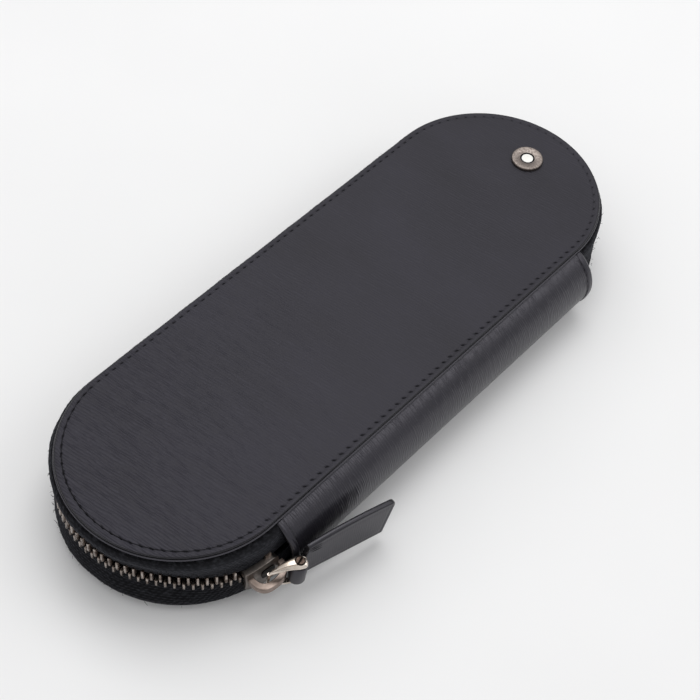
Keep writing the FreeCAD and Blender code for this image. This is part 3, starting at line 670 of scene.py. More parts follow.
def hinge_fold():
    """The fold that joins spine and lid: a thin strip that leaves the spine's outer face, passes up over its
    edge and turns in under the cover."""
    overlap = 0.12
    half = 0.06
    reach = SPINE_RADIUS + 0.02
    under_in = np.array([0.1, 0.3, 0.8, 1.6])
    under_up = np.array([half, 0.1, -half, -half])
    climb = np.linspace(SPINE_SWEEP - overlap, SPINE_SWEEP, 7)
    x = np.concatenate([SPINE_HUB + reach * np.cos(climb), RADIUS - under_in])
    z = np.concatenate([SPINE_MID + reach * np.sin(climb), TOP - COVER + under_up])
    y = np.linspace(-HALF + 0.4, HALF - 0.4, 121) + SPINE_SHIFT
    side_x, side_z = square_to(x, z)
    loop_x = np.concatenate([x - half * side_x, (x + half * side_x)[::-1]])
    loop_z = np.concatenate([z - half * side_z, (z + half * side_z)[::-1]])
    points = grid_points(loop_x[None, :], y[:, None], loop_z[None, :])
    flat = np.zeros(points[..., 0].size)
    fold = make_piece("hinge_fold", points, tube_faces(*points.shape[:2]), spine_hide, None,
                      "grained_leather", marks={"edge": flat, "hole": flat})
    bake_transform(fold)


def spine_inside():
    """Cloth glued inside the spine: a band bent to an arc inside the leather, with rounded edges and a soft
    rise and fall along its length."""
    low, high = box_mm("spine_lining")
    outer = high[0] - SPINE_HUB
    half = 0.4
    level = np.linspace(-1, 1, 41)
    sweep = math.asin((high[2] - SPINE_MID) / outer) * level
    y = np.linspace(low[1], high[1], 105)[None, :]
    close = half_circle(level ** 5)[:, None] * half_circle((y / high[1]) ** 30)
    fall = 0.12 * np.sin(y / 5.0 + 1.4 * np.sin(y / 9.0)) * close
    outside = outer - half + half * close
    inside = outer - half - half * close + fall
    out = np.concatenate([outside, inside[::-1]])
    bow = np.concatenate([sweep, sweep[::-1]])[:, None]
    faces = grid_faces(*out.shape, wrap_rows=True)
    make_piece("spine_cloth", on_spine(out, bow, y), faces, lining_cloth, "base", "lining_fabric",
               ["spine_lining"])


spine_shell()
hem_seams()
hinge_fold()
spine_inside()


# Zip tapes and teeth, set out along the zip's path

# Where the chain is drawn in and up along the near end, as angles from the spine's near end
DIP_START = math.radians(14)
DIP_END = math.radians(140)
DIP_EASE = math.radians(45)
DIP_IN = 1.5
DIP_UP = 1.6
# Where it sags under the slider
SAG = 1.1
SAG_END = math.radians(22)
SAG_EASE = math.radians(14)
# Where it is drawn in further and the upper tape falls over it, as angles from the spine's far end
FAR_START = math.radians(95)
FAR_EASE = math.radians(35)
FAR_IN = 0.8
FLAP_DROP = 4.2
FLAP_IN = 0.75


def path_hub(along):
    """Point on the middle line and direction away from it, for distances along the zip from the spine's
    near end. Before its start and after its end the path runs straight on into the spine."""
    turn = (np.clip(along, 0, ARC_LENGTH) + np.clip(along - ARC_LENGTH - 2 * HALF, 0, ARC_LENGTH)) / TAPE_OUT
    hub = -HALF - np.minimum(along, 0) + np.clip(along - ARC_LENGTH, 0, 2 * HALF)
    return hub - np.maximum(along - CHAIN_LENGTH, 0), -turn


def far_share(along):
    """Nought along most of the zip, rising to one where it nears the spine's far end."""
    return smoothstep((FAR_START - (CHAIN_LENGTH - along) / TAPE_OUT) / FAR_EASE)


def chain_in(along):
    """How far the chain is drawn in from the zip's path: not at all in the slider, well in after it, and most
    towards the far end."""
    return DIP_IN * smoothstep((along / TAPE_OUT - DIP_START) / DIP_EASE) + FAR_IN * far_share(along)


def chain_lift(along):
    """How far the chain stands over the middle of the case: drawn up along the near end, and sagging where
    the slider hangs."""
    turn = along / TAPE_OUT
    raised = smoothstep((turn - DIP_START) / DIP_EASE) * smoothstep((DIP_END - turn) / DIP_EASE)
    return DIP_UP * raised - SAG * smoothstep((SAG_END - turn) / SAG_EASE)


# The tape's section runs from a margin sewn under the cover, through a bend, down a wall to its free edge
TAPE_BEND = 2.0
MARGIN_OUT = RADIUS - 4.5
MARGIN_RISE = MID - COVER - TAPE_THICK / 2
MARGIN_RUN = TAPE_OUT - TAPE_BEND - MARGIN_OUT
BEND_RUN = TAPE_BEND * math.pi / 2
WALL_RUN = MARGIN_RISE - TAPE_BEND - TAPE_EDGE
TAPE_RUN = MARGIN_RUN + BEND_RUN + WALL_RUN
TAPE_STEP = 0.6
SWELL = 0.35
SWELL_SIDE = 0.5
SWELL_FAR = 0.8
RIPPLE = 0.16
NUB = 0.07
TAIL = 6.0
TAIL_START = 2.0
TAIL_WIDE = 5.6
TAIL_EASE = 2.0


def tape_section():
    """The tape's section as a closed loop: for each corner its length along the tape's width, its distance
    out and its drop below the margin. The free edge is thick with a cord."""
    run = np.concatenate([[0], np.linspace(MARGIN_RUN, MARGIN_RUN + BEND_RUN, 9),
                          np.linspace(MARGIN_RUN + BEND_RUN, TAPE_RUN, 12)[1:]])
    swing = np.clip((run - MARGIN_RUN) / TAPE_BEND, 0, QUARTER_TURN)
    out = MARGIN_OUT + np.minimum(run, MARGIN_RUN) + TAPE_BEND * np.sin(swing)
    drop = TAPE_BEND * (1 - np.cos(swing)) + np.clip(run - MARGIN_RUN - BEND_RUN, 0, WALL_RUN)
    cord = 0.14 * bump((run - TAPE_RUN + 0.8) / 0.7)
    half = TAPE_THICK / 2 * np.where((run == 0) | (run == TAPE_RUN), 0.55, 0.92) + cord
    loop_run = np.concatenate([run, run[::-1]])
    loop_out = np.concatenate([out + half * np.sin(swing), (out - half * np.sin(swing))[::-1]])
    loop_drop = np.concatenate([drop - half * np.cos(swing), (drop + half * np.cos(swing))[::-1]])
    return loop_run[None, :], loop_out[None, :], loop_drop[None, :]


def tape(name, way, cloth, body, replaced):
    """Woven tape: its section carried along the path. The wall's free edge follows the chain and its ends
    narrow into tails. Along the side the wall swells, and towards the far end the upper one falls over the
    chain as a flap."""
    along = np.arange(-TAIL, CHAIN_LENGTH + TAIL + 0.01, TAPE_STEP)[:, None]
    run, section_out, section_drop = tape_section()
    slack = smoothstep((run - MARGIN_RUN - 0.4) / (TAPE_RUN - MARGIN_RUN - 0.4))
    past_near = smoothstep((along / TAPE_OUT - 2.0) / 0.8)
    fullness = SWELL + SWELL_SIDE * past_near - SWELL_FAR * far_share(along)
    swell = fullness * np.sin(math.pi * np.clip((run - MARGIN_RUN) / (TAPE_RUN - MARGIN_RUN), 0, 1)) ** 2
    ripple = RIPPLE * np.sin(along / 2.9 + 1.3 * np.sin(along / 7.0)) * np.sin(math.pi * slack)
    nubs = NUB * np.sin(along * 3.1 + 2.0 * np.sin(along * 0.9)) * np.sin(run * 2.7 + along)
    tail = smoothstep((-along - TAIL_START) / TAIL_EASE) + smoothstep((along - CHAIN_LENGTH) / TAIL_EASE)
    flap = far_share(along) * (way > 0) * (1 - tail)
    out = section_out - chain_in(along) * slack * (1 - flap) + (swell + ripple + nubs) * (1 - tail)
    out = out - FLAP_IN * flap * smoothstep(slack * 2.4)
    out = out + tail * (TAPE_OUT + np.sign(section_out - TAPE_OUT) * TAPE_THICK / 2 - out)
    tail_drop = MARGIN_RISE - TAPE_EDGE - TAIL_WIDE
    drop = section_drop + tail * np.maximum(tail_drop - section_drop, 0) + FLAP_DROP * flap * slack
    height = MID + way * (MARGIN_RISE - drop) + chain_lift(along) * slack
    hub, angle = path_hub(along)
    points = from_hub(hub, angle, out, height)
    uv = np.stack(np.broadcast_arrays(along, run), axis=-1)
    make_piece(name, points, tube_faces(*points.shape[:2]), cloth, body, "zip_tape", [replaced], uv=uv)


TOOTH_PITCH = 2.22
TOOTH_COUNT = 140
CHAIN_START = 5.4
TOOTH_THICK = 0.84
TOOTH_DEPTH = 2.4
SLIDER_COVER = 12.0
UPPER_TIP = box_mm("upper_teeth")[0][2] - MID
LOWER_TIP = 0.35
TOOTH_LEGS = box_mm("upper_teeth")[1][2] - MID
UPPER_LEGS = 0.78 * TOOTH_LEGS
LOWER_LEGS = 0.74 * TOOTH_LEGS


def teeth(name, way, shift, tip, legs, body, replaced):
    """Zip teeth: each a block with chamfered corners, lofted through levels from its head to the tips of its
    legs, and set on the path at every pitch. The first few, which the slider covers, have short legs."""
    level = np.array([0.0, 0.03, 0.16, 0.45, 0.9, 1.0])
    wide = np.array([0.82, 0.98, 1.06, 1.0, 0.97, 0.8])
    deep = np.array([0.8, 0.94, 1.0, 0.97, 0.99, 0.9])
    corner_x = np.array([1, 0.72, -0.72, -1, -1, -0.72, 0.72, 1])
    corner_y = np.array([0.6, 1, 1, 0.6, -0.6, -1, -1, -0.6])
    along = (CHAIN_START + (np.arange(TOOTH_COUNT) + shift) * TOOTH_PITCH)[:, None, None]
    across = TOOTH_DEPTH / 2 * deep[None, :, None] * corner_x[None, None, :]
    lengthwise = TOOTH_THICK / 2 * wide[None, :, None] * corner_y[None, None, :]
    covered = smoothstep((SLIDER_COVER - along) / 3.0)
    height = tip + (legs - tip) * level[None, :, None] * (1 - 0.5 * covered)
    hub, angle = path_hub(along)
    points = from_hub(hub, angle, TAPE_OUT + across - chain_in(along), MID + way * height + chain_lift(along))
    step = grid_points(-np.sin(angle) * lengthwise, np.cos(angle) * lengthwise, 0.0)
    faces = copies_of(tube_faces(len(level), len(corner_x)), len(level) * len(corner_x), TOOTH_COUNT)
    make_piece(name, points + step, faces, zip_nickel, body, "zip_metal", [replaced], sharp=30)


tape("upper_zip_tape", 1, bend_highlit_cloth, "lid", "upper_tape")
tape("lower_zip_tape", -1, tape_cloth, "base", "lower_tape")
teeth("upper_zip_teeth", 1, 0.0, UPPER_TIP, UPPER_LEGS, "lid", "upper_teeth")
teeth("lower_zip_teeth", -1, 0.5, LOWER_TIP, LOWER_LEGS, "base", "lower_teeth")


# Metal fittings: the rivet, and the zip's slider with its bridge

def rivet():
    """Rivet cap: a low disc with a rolled rim and a shallow seat, where a pale dot sits in a dark ring."""
    low, high = box_mm("emblem_cap")
    inlay_low, inlay_high = box_mm("emblem_inlay")
    centre = np.array([(low[0] + high[0]) / 2, (low[1] + high[1]) / 2, TOP])
    radius = (high[0] - low[0]) / 2
    tall = high[2] - TOP
    seat = (inlay_high[0] - inlay_low[0]) / 2
    seat_floor = 0.45
    ring_top = 0.66
    rim = 0.42
    bend = np.linspace(0, QUARTER_TURN, 7)
    out = np.concatenate([[0, radius], radius - rim + rim * np.cos(bend),
                          [radius - 1.0, seat + 0.12, seat + 0.02, seat, 0]])
    up = np.concatenate([[0, 0], tall - rim + rim * np.sin(bend),
                         [tall - 0.07, tall - 0.1, tall - 0.16, seat_floor, seat_floor]])
    points, faces = lathe(out, up, 64)
    make_piece("rivet_cap", points + centre, faces, pewter, "lid", "emblem_metal", ["emblem_cap"])
    points, faces = lathe([0, seat, seat, seat - 0.1, 0], [0.44, 0.44, 0.6, ring_top, ring_top])
    make_piece("rivet_ring", points + centre, faces, ring_enamel, "lid", "emblem_inlay", ["emblem_inlay"])
    dome = np.linspace(0, QUARTER_TURN, 6)
    points, faces = lathe(np.concatenate([[0], (seat - 0.42) * np.cos(dome) ** 0.5]),
                          np.concatenate([[0.6], ring_top + 0.1 * np.sin(dome)]))
    make_piece("rivet_dot", points + centre, faces, ivory, "lid", "emblem_inlay")


# The slider's place and span are angles round the near end, and its jaws' length and the part of it behind
# the bridge are shares of the span. Distances out are from the middle line
SLIDER_TURN = math.radians(-8.85)
SLIDER_SPAN = math.radians(17.2)
JAW_LENGTH = 0.96
JAW_BEHIND = 0.56
JAW_OUT = TAPE_OUT + 2.65
JAW_IN = TAPE_OUT + 1.45
JAW_LIP = TAPE_OUT + 0.65
JAW_BOW = 0.3
LIP_THICK = 0.9
JAW_TALL = 3.5
JAW_SHORT = 3.1
JAW_APRON = 1.5
INNER_BACK = 1.3
JAW_MID = MID - SAG
WEDGE_TURN = SLIDER_TURN + math.radians(6.2)
WEDGE_HALF = math.radians(1.0)
WEDGE_TALL = 1.6
# The near-black plug of painted shade on the outer plate: its place, half its length and half its height
SHADE_PLUG_TURN = SLIDER_TURN + math.radians(1.0)
SHADE_PLUG_HALF = 2.0
SHADE_PLUG_TALL = 1.75


def slider():
    """Zip slider: an outer and an inner jaw with lips towards the tape, bent round the case's near end
    and lower at the closed end of the zip, with a wedge between them. The outer jaw has an apron below, and
    carries a near-black plug, painted shade and dark reflection under the bridge and shackle, and a round
    bridge. The inner jaw stands back from the drawn-in chain."""
    share = np.linspace(0, 1, 13)[:, None]
    angle = SLIDER_TURN + SLIDER_SPAN * (JAW_LENGTH * share - JAW_BEHIND)
    nose = half_circle(np.clip((share - 0.82) / 0.3, 0, 1))
    tall = (JAW_SHORT + (JAW_TALL - JAW_SHORT) * smoothstep(share * 1.4)) * nose
    apron = JAW_APRON * np.sin(math.pi * share) ** 0.5
    strip = np.linspace(1, -1, 9)
    out = np.concatenate([JAW_OUT - JAW_BOW * strip ** 2,
                          [JAW_LIP, JAW_LIP, JAW_IN, JAW_IN, JAW_LIP, JAW_LIP]])[None, :]
    level = np.concatenate([strip, [-1, -1, -1, 1, 1, 1]])[None, :]
    lip = np.concatenate([np.zeros(len(strip)), [0, 1, 1, -1, -1, 0]])[None, :] * LIP_THICK
    outer = from_hub(-HALF, angle, out, JAW_MID + (tall + apron * (level < 0)) * level + lip)
    inner_out = 2 * TAPE_OUT - np.maximum(out, JAW_IN - 0.25) - INNER_BACK
    inner = from_hub(-HALF, angle, inner_out, JAW_MID + tall * level + lip)
    jaw_faces = tube_faces(*outer.shape[:2])
    wedge_angle = WEDGE_TURN + WEDGE_HALF * np.array([-1, -1, 1, 1])[:, None]
    wedge_in = 2 * TAPE_OUT - JAW_IN - INNER_BACK
    wedge_out = np.array([wedge_in, JAW_IN, JAW_IN, wedge_in])[:, None]
    wedge_level = JAW_MID + WEDGE_TALL * np.array([-1, 1])[None, :]
    wedge = from_hub(-HALF, wedge_angle, wedge_out, wedge_level).swapaxes(0, 1)
    points, faces = joined((outer, jaw_faces), (inner, jaw_faces), (wedge, tube_faces(2, 4)))
    jaws = make_piece("slider_jaws", points, faces, slider_nickel, "slider", "zip_metal", ["slider_body"],
                      sharp=25)
    soften(jaws, 0.18)
    # A near-black plug on the outer plate: painted shade and dark reflection under the bridge and shackle
    make_piece("slider_painted_shade_plug", *painted_shade_plug(), shade_black, "slider", "zip_metal")
    make_piece("slider_bridge", *bridge(), bridge_metal, "slider", "zip_metal", sharp=25)


def painted_shade_plug():
    """Painted shade on the slider's outer plate: a thin near-black plug with a squared-off oval outline,
    bowed with the plate, where the bridge and shackle shade it."""
    sides = 24
    ring = round_angles(sides)
    up = SHADE_PLUG_TALL * rounded(np.sin(ring), 0.6)
    turn = SHADE_PLUG_TURN + SHADE_PLUG_HALF * rounded(np.cos(ring), 0.6) / JAW_OUT
    out = JAW_OUT - JAW_BOW * (up / JAW_TALL) ** 2 + np.array([-0.2, 0.18])[:, None]
    return from_hub(-HALF, turn[None, :], out, JAW_MID - 0.05 + up[None, :]), tube_faces(2, sides)


# The bridge's section, as shares of its thickness and of half its height
BRIDGE_SECTION = (
    (0.1, 1.0), (0.5, 1.02), (0.9, 1.0), (1.0, 0.8), (1.0, 0.55), (0.92, 0.4), (1.0, 0.25), (1.0, -0.1),
    (0.92, -0.25), (1.0, -0.4), (1.0, -0.8), (0.9, -1.0), (0.1, -1.0), (0.0, -0.8), (0.0, 0.0), (0.0, 0.8),
)
BRIDGE_FOOT = JAW_OUT - 0.5
BRIDGE_MID = 0.1
BRIDGE_HALF = 3.55
BRIDGE_REACH = 3.3
BRIDGE_SIDE_THICK = 1.65
BRIDGE_TOP_THICK = 1.8
BRIDGE_TALL = 0.9
BRIDGE_LEAN = 0.14
BRIDGE_SQUARE = 0.8


def bridge():
    """The slider's bridge: a band bowed from foot to foot in a squared-off half round that leans to one side,
    with a flat top, bevelled edges and two fine grooves along its outer face."""
    bow = np.linspace(0, math.pi, 41)[:, None]
    mix, level = np.array(BRIDGE_SECTION).T[:, None, :]
    lean = 1 + BRIDGE_LEAN * np.cos(bow)
    side = BRIDGE_MID - (BRIDGE_HALF + BRIDGE_SIDE_THICK * mix) * rounded(np.cos(bow), BRIDGE_SQUARE)
    out = BRIDGE_FOOT + (BRIDGE_REACH + BRIDGE_TOP_THICK * mix) * lean * rounded(np.sin(bow), BRIDGE_SQUARE)
    x = out * math.cos(SLIDER_TURN) - side * math.sin(SLIDER_TURN)
    y = out * math.sin(SLIDER_TURN) + side * math.cos(SLIDER_TURN) - HALF
    points = grid_points(x, y, JAW_MID + 0.1 + BRIDGE_TALL * level)
    return points, tube_faces(*points.shape[:2])


rivet()
slider()


# Pull: a shackle that swings in the bridge, its slotted pin and a leather tab folded round the pin

bar_place, pin_place = (np.array(JOINTS[name]["pos_m"]) / MM for name in ("shackle_swing", "tab_swing"))
PULL_AXIS = np.array(JOINTS["tab_swing"]["axis"])
ARM_LENGTH = np.linalg.norm(pin_place - bar_place)
SHACKLE_WAY = (pin_place - bar_place) / ARM_LENGTH
TAB_TURN = math.radians(14.4)
TAB_WAY = math.cos(TAB_TURN) * SHACKLE_WAY + math.sin(TAB_TURN) * np.cross(PULL_AXIS, SHACKLE_WAY)

# The arms: half their width at the bar, how far they pass the pin, and how far they stand from the middle
ARM_ROOT = 0.32
ARM_END = 1.9
LOWER_ARM_END = 0.95
ARM_THICK = 1.1
ARM_INNER = 0.3
PADDLE_GAP = 3.25
UPPER_ROOT_GAP = 0.4
LOWER_ROOT_GAP = 2.5
# Half of an arm's section, as shares of half its width and of its thickness
ARM_SECTION = ((1, 0), (0.97, 0.3), (0.66, 0.88), (0.54, 0.97), (0.44, 0.8), (0.34, 1.0), (0, 1.03))

BAR_RADIUS = 0.45
BAR_LOW = -3.2
BAR_HIGH = 1.7
PIN_RADIUS = 0.8
PIN_SEAT = PADDLE_GAP + ARM_THICK
HEAD_RADIUS = 1.08
SLOT_HALF = 0.24
SLOT_TURN = math.radians(42)


def placed(points, origin, way):
    """Points from a frame with its x axis along a way and its z axis along the pull's hinge."""
    return origin + points @ np.stack([way, np.cross(PULL_AXIS, way), PULL_AXIS])


def arm(side, end, root_gap):
    """One arm of the shackle: a section that is flat inside and bevelled to a flat outside with two fine
    grooves, leaving the bar at a gap from its middle and widening evenly to a paddle about the pin, cut
    nearly square at its end."""
    reach = ARM_LENGTH + end + ARM_ROOT
    part = 0.5 - 0.5 * np.cos(np.linspace(0, math.pi, 41))[:, None]
    x = -ARM_ROOT + reach * part
    neck = ARM_ROOT + (end - ARM_ROOT) * np.clip((x - 0.4) / (ARM_LENGTH - 1.0), 0, 1) ** 0.9
    root_round = half_circle(np.clip(-x / ARM_ROOT, 0, 1))
    end_round = half_circle(np.clip((x - ARM_LENGTH) / end, 0, 1) ** 2)
    half = neck * root_round * end_round
    inner = root_gap + (PADDLE_GAP - root_gap) * smoothstep((x + 1.6) / (ARM_LENGTH - 0.2)) ** 0.7
    half_section = np.array(ARM_SECTION)
    outside = np.concatenate([half_section, half_section[-2::-1] * [-1, 1]])
    across, level = np.concatenate([outside, [(-0.9, -1), (0, -1), (0.9, -1)]]).T[:, None, :]
    edge = np.minimum(root_round, end_round) ** 0.5
    z = inner + ARM_INNER + np.where(level > 0, (ARM_THICK - ARM_INNER) * edge, ARM_INNER) * level
    points = grid_points(x, half * across, side * z)
    return points, tube_faces(*points.shape[:2])


def pin_head():
    """A screw head: a low disc that carries two half moons with the driver's slot between them."""
    base = disc(HEAD_RADIUS, 0, 0.25, 32)
    open_angle = math.asin(SLOT_HALF / HEAD_RADIUS)
    sweep = np.linspace(open_angle, math.pi - open_angle, 13)
    moon = HEAD_RADIUS * np.stack([np.cos(sweep), np.sin(sweep)], axis=-1)
    halves = []
    for way in (-1, 1):
        rings = [np.column_stack([way * moon, np.full(len(moon), height)]) for height in (0.2, 0.55)]
        halves.append((np.array(rings), tube_faces(2, len(moon))))
    points, faces = joined(base, *halves)
    turn = np.array([[math.cos(SLOT_TURN), math.sin(SLOT_TURN), 0],
                     [-math.sin(SLOT_TURN), math.cos(SLOT_TURN), 0],
                     [0, 0, 1]])
    return points @ turn, faces


def pull():
    """The shackle with its bar, and the pin with its slotted head over a near-black disc that paints the
    shade round the head.
    """
    bar = disc(BAR_RADIUS, BAR_LOW, BAR_HIGH, 24)
    points, faces = joined(arm(1, ARM_END, UPPER_ROOT_GAP), arm(-1, LOWER_ARM_END, LOWER_ROOT_GAP), bar)
    make_piece("shackle_link", placed(points, bar_place, SHACKLE_WAY), faces, pull_silver, "shackle",
               "pull_metal", ["pull_shackle"], sharp=30)
    # A near-black disc under the pin's head: painted shade round it
    points, faces = disc(HEAD_RADIUS + 0.25, PIN_SEAT - 0.3, PIN_SEAT + 0.03, 32)
    make_piece("pin_painted_shade_disc", placed(points, pin_place, SHACKLE_WAY), faces, shade_black, "shackle",
               "pull_metal")
    shaft = disc(PIN_RADIUS, -PIN_SEAT, PIN_SEAT, 24)
    foot = lathe([0, HEAD_RADIUS, HEAD_RADIUS, HEAD_RADIUS * 0.7, 0],
                 [-PIN_SEAT, -PIN_SEAT, -PIN_SEAT - 0.35, -PIN_SEAT - 0.58, -PIN_SEAT - 0.6], 32)
    head_points, head_faces = pin_head()
    points, faces = joined(shaft, foot, (head_points + [0, 0, PIN_SEAT - 0.35], head_faces))
    pin = make_piece("slotted_pin", placed(points, pin_place, SHACKLE_WAY), faces, pin_metal, "shackle",
                     "pull_metal", ["pull_pin"])
    soften(pin, 0.06)


# The tab's strip starts by the pin, narrow at its nose, and widens at a shoulder
TAB_START = 1.2
TAB_LENGTH = 28.4
TAB_SLANT = 1.0
TAB_FRONT = 0.6
TAB_THICK = 1.5
TAB_LIFT = 1.1
TAB_SHOULDER = 5.6
TAB_END = 6.4
TAB_NECK = 2.5
TAB_NOSE = 3.05
TAB_CORNER = 2.0
TAB_EDGE = 0.62
TAB_BOW = 0.9
END_EDGE = 0.7
FOLD_INNER = 1.0
FOLD_RADIUS = 2.22
FOLD_SHIFT = 0.04


def tab_strip():
    """The tab's strip: stations from the fold to a slanted end, each a flat section with rounded, painted
    edges. Its upper edge bows out a little, and a pressed line follows the edge on the front."""
    part = np.concatenate([np.linspace(0, 0.12, 9), np.linspace(0.12, 0.94, 40)[1:],
                           1 - 0.06 * np.linspace(1, 0, 10)[1:] ** 2])[:, None]
    face = np.linspace(-1, 1, 25)
    flat = np.zeros(len(face))
    bend = np.linspace(-QUARTER_TURN, QUARTER_TURN, 9)[1:-1]
    across = np.concatenate([face, np.ones(7), -face, -np.ones(7)])[None, :]
    over = np.concatenate([flat, np.cos(bend), flat, -np.cos(bend)])[None, :] * TAB_EDGE
    depth = np.concatenate([flat - 1, np.sin(bend), flat + 1, -np.sin(bend)])[None, :]
    near = TAB_START + (TAB_LENGTH - TAB_START) * part
    body_half = TAB_SHOULDER + (TAB_END - TAB_SHOULDER) * part
    shoulder = smoothstep((near - TAB_NECK + 0.5) / 0.9)
    half = TAB_NOSE + (body_half - TAB_NOSE) * shoulder
    z = across * (half - TAB_EDGE) + over
    corner = np.clip(z - (body_half - TAB_CORNER), 0, TAB_CORNER)
    corner_cut = TAB_CORNER - np.sqrt(np.clip(TAB_CORNER ** 2 - corner ** 2, 0, None))
    end = TAB_LENGTH + TAB_SLANT * z / TAB_END - corner_cut
    x = TAB_START + (end - TAB_START) * part
    last = half_circle(np.clip((x - end + END_EDGE) / END_EDGE, 0, 1))
    from_edge = np.minimum(np.abs(half - np.abs(z)), end - x)
    crease = np.where(depth == -1, 0.14 * bump((from_edge - 1.3) / 0.26), 0)
    y = TAB_FRONT + TAB_THICK / 2 + (TAB_THICK / 2 * depth + crease) * (0.25 + 0.75 * last)
    bowed = TAB_BOW * np.sin(math.pi * part) * np.clip(across, 0, 1)
    points = grid_points(x, y, z + TAB_LIFT * shoulder + bowed)
    painted = (1 - smoothstep((from_edge - 0.45) / 0.35)) * np.ones_like(z)
    return points, tube_faces(*points.shape[:2]), painted


def tab_fold():
    """The tab's fold: a ring round the pin with rounded corners, its outside moved a little off the pin's
    middle."""
    wide = FOLD_RADIUS
    nose = TAB_NOSE
    out = np.array([FOLD_INNER, FOLD_INNER, wide - 0.35, wide - 0.1, wide, wide, wide - 0.1, wide - 0.35,
                    FOLD_INNER])[:, None]
    up = np.array([0, nose, nose, nose - 0.1, nose - 0.35, 0.35 - nose, 0.1 - nose, -nose, -nose])[:, None]
    turn = round_angles(40)[None, :]
    shift = FOLD_SHIFT * (out - FOLD_INNER) / (FOLD_RADIUS - FOLD_INNER)
    points = grid_points(out * np.cos(turn) - shift, out * np.sin(turn), up)
    return points, grid_faces(*points.shape[:2], wrap_rows=True, wrap_columns=True).tolist()


def tab():
    """The leather tab with its fold round the pin, smoothed and darkened a little at the fold."""
    strip_points, strip_faces, painted = tab_strip()
    fold_points, fold_faces = tab_fold()
    points, faces = joined((strip_points, strip_faces), (fold_points, fold_faces))
    fold_edge = np.full(fold_points[..., 0].size, 0.35)
    marks = {"edge": np.concatenate([painted.ravel(), fold_edge]), "hole": np.zeros(len(points))}
    make_piece("leather_tab", placed(points, pin_place, TAB_WAY), faces, tab_hide, "tab", "grained_leather",
               ["pull_tab"], marks=marks)


def tab_stitches():
    """Threads laid side by side along the tab's upper edge next to its fold, which fan out a little and dip
    into the leather at both ends."""
    rings = 9
    sides = 6
    count = 3
    stitch = np.arange(count)[:, None, None]
    part = np.linspace(0, 1, rings)[None, :, None]
    turn = round_angles(sides)[None, None, :]
    thick = 0.06 * (0.5 + 0.5 * np.sin(math.pi * part))
    x = TAB_NECK + 0.3 + 0.25 * stitch + 3.8 * part
    y = TAB_FRONT + 0.05 - 0.1 * np.sin(math.pi * part) ** 0.3 + thick * np.cos(turn)
    z = TAB_LIFT + TAB_SHOULDER - 0.6 - stitch * (0.8 + 0.2 * part) + thick * np.sin(turn)
    threads = placed(grid_points(x, y, z).reshape(-1, 3), pin_place, TAB_WAY)
    faces = copies_of(tube_faces(rings, sides), rings * sides, count)
    make_piece("tab_stitches", threads, faces, thread_black, "tab", "grained_leather")


pull()
tab()
tab_stitches()


# Stray fibres that stand off the worn tape

FIBRES = 260
FIBRE_RADIUS = 0.085


def stray_fibres(name, height, body):
    """Short curved hairs: thin three-sided tubes that leave the tape's wall at scattered places."""
    rings = 5
    sides = 3
    along = draw.uniform(2, CHAIN_LENGTH - 2, FIBRES)[:, None, None]
    length = draw.uniform(0.25, 0.85, FIBRES)[:, None, None]
    lean = draw.uniform(-1.0, 1.0, FIBRES)[:, None, None]
    lift = draw.uniform(-0.7, 0.7, FIBRES)[:, None, None]
    curl = draw.uniform(-0.5, 0.5, FIBRES)[:, None, None]
    part = np.linspace(0, 1, rings)[None, :, None]
    turn = round_angles(sides)[None, None, :]
    thin = FIBRE_RADIUS * (1 - 0.6 * part)
    hub, angle = path_hub(along + lean * length * part + curl * part ** 2)
    out = TAPE_OUT + TAPE_THICK / 2 - 0.1 + length * 0.8 * part + thin * np.cos(turn)
    start = draw.uniform(height[0], height[1], FIBRES)[:, None, None]
    points = from_hub(hub, angle, out, start + lift * length * part + thin * np.sin(turn))
    faces = copies_of(tube_faces(rings, sides), rings * sides, FIBRES)
    make_piece(name, points, faces, tape_cloth, body, "zip_tape", uv=np.zeros((points.size // 3, 2)))


stray_fibres("upper_fibres", (MID + 4.5, TOP - COVER - 2.0), "lid")
stray_fibres("lower_fibres", (COVER + 1.2, MID - 4.5), "base")


# Inside: linings and pen bands, and the finish of the nodes that are kept

def glued_lining(node, up, body):
    """A lining glued over its board: a thin cloth with a rounded edge and a soft swell towards the middle."""
    low, high = box_mm(node)
    radius = high[0]
    thick = high[2] - low[2]
    edge = 0.6
    hub, angle = rim_hub(np.arange(STITCHES * 2) / 2)
    turn = np.linspace(0, QUARTER_TURN, 6)
    inset = np.concatenate([[radius, 3.0, 0.0], edge - edge * np.cos(turn), [2.0, 5.0, 12.0, radius]])
    rise = thick * np.concatenate([[0, 0, 0], 0.3 + 0.6 * np.sin(turn), [0.93, 0.96, 1.0, 1.0]])
    base = low[2] if up > 0 else high[2]
    points = from_hub(hub[None, :], angle[None, :], (radius - inset)[:, None], base + up * rise[:, None])
    make_piece(node + "_cloth", points, grid_faces(*points.shape[:2], wrap_columns=True), lining_cloth, body,
               "lining_fabric", [node])


BAND_THICK = 1.0
LOOP_PITCH = 18.4
LOOP_HALF = 8.0
BAND_RIBS = 12


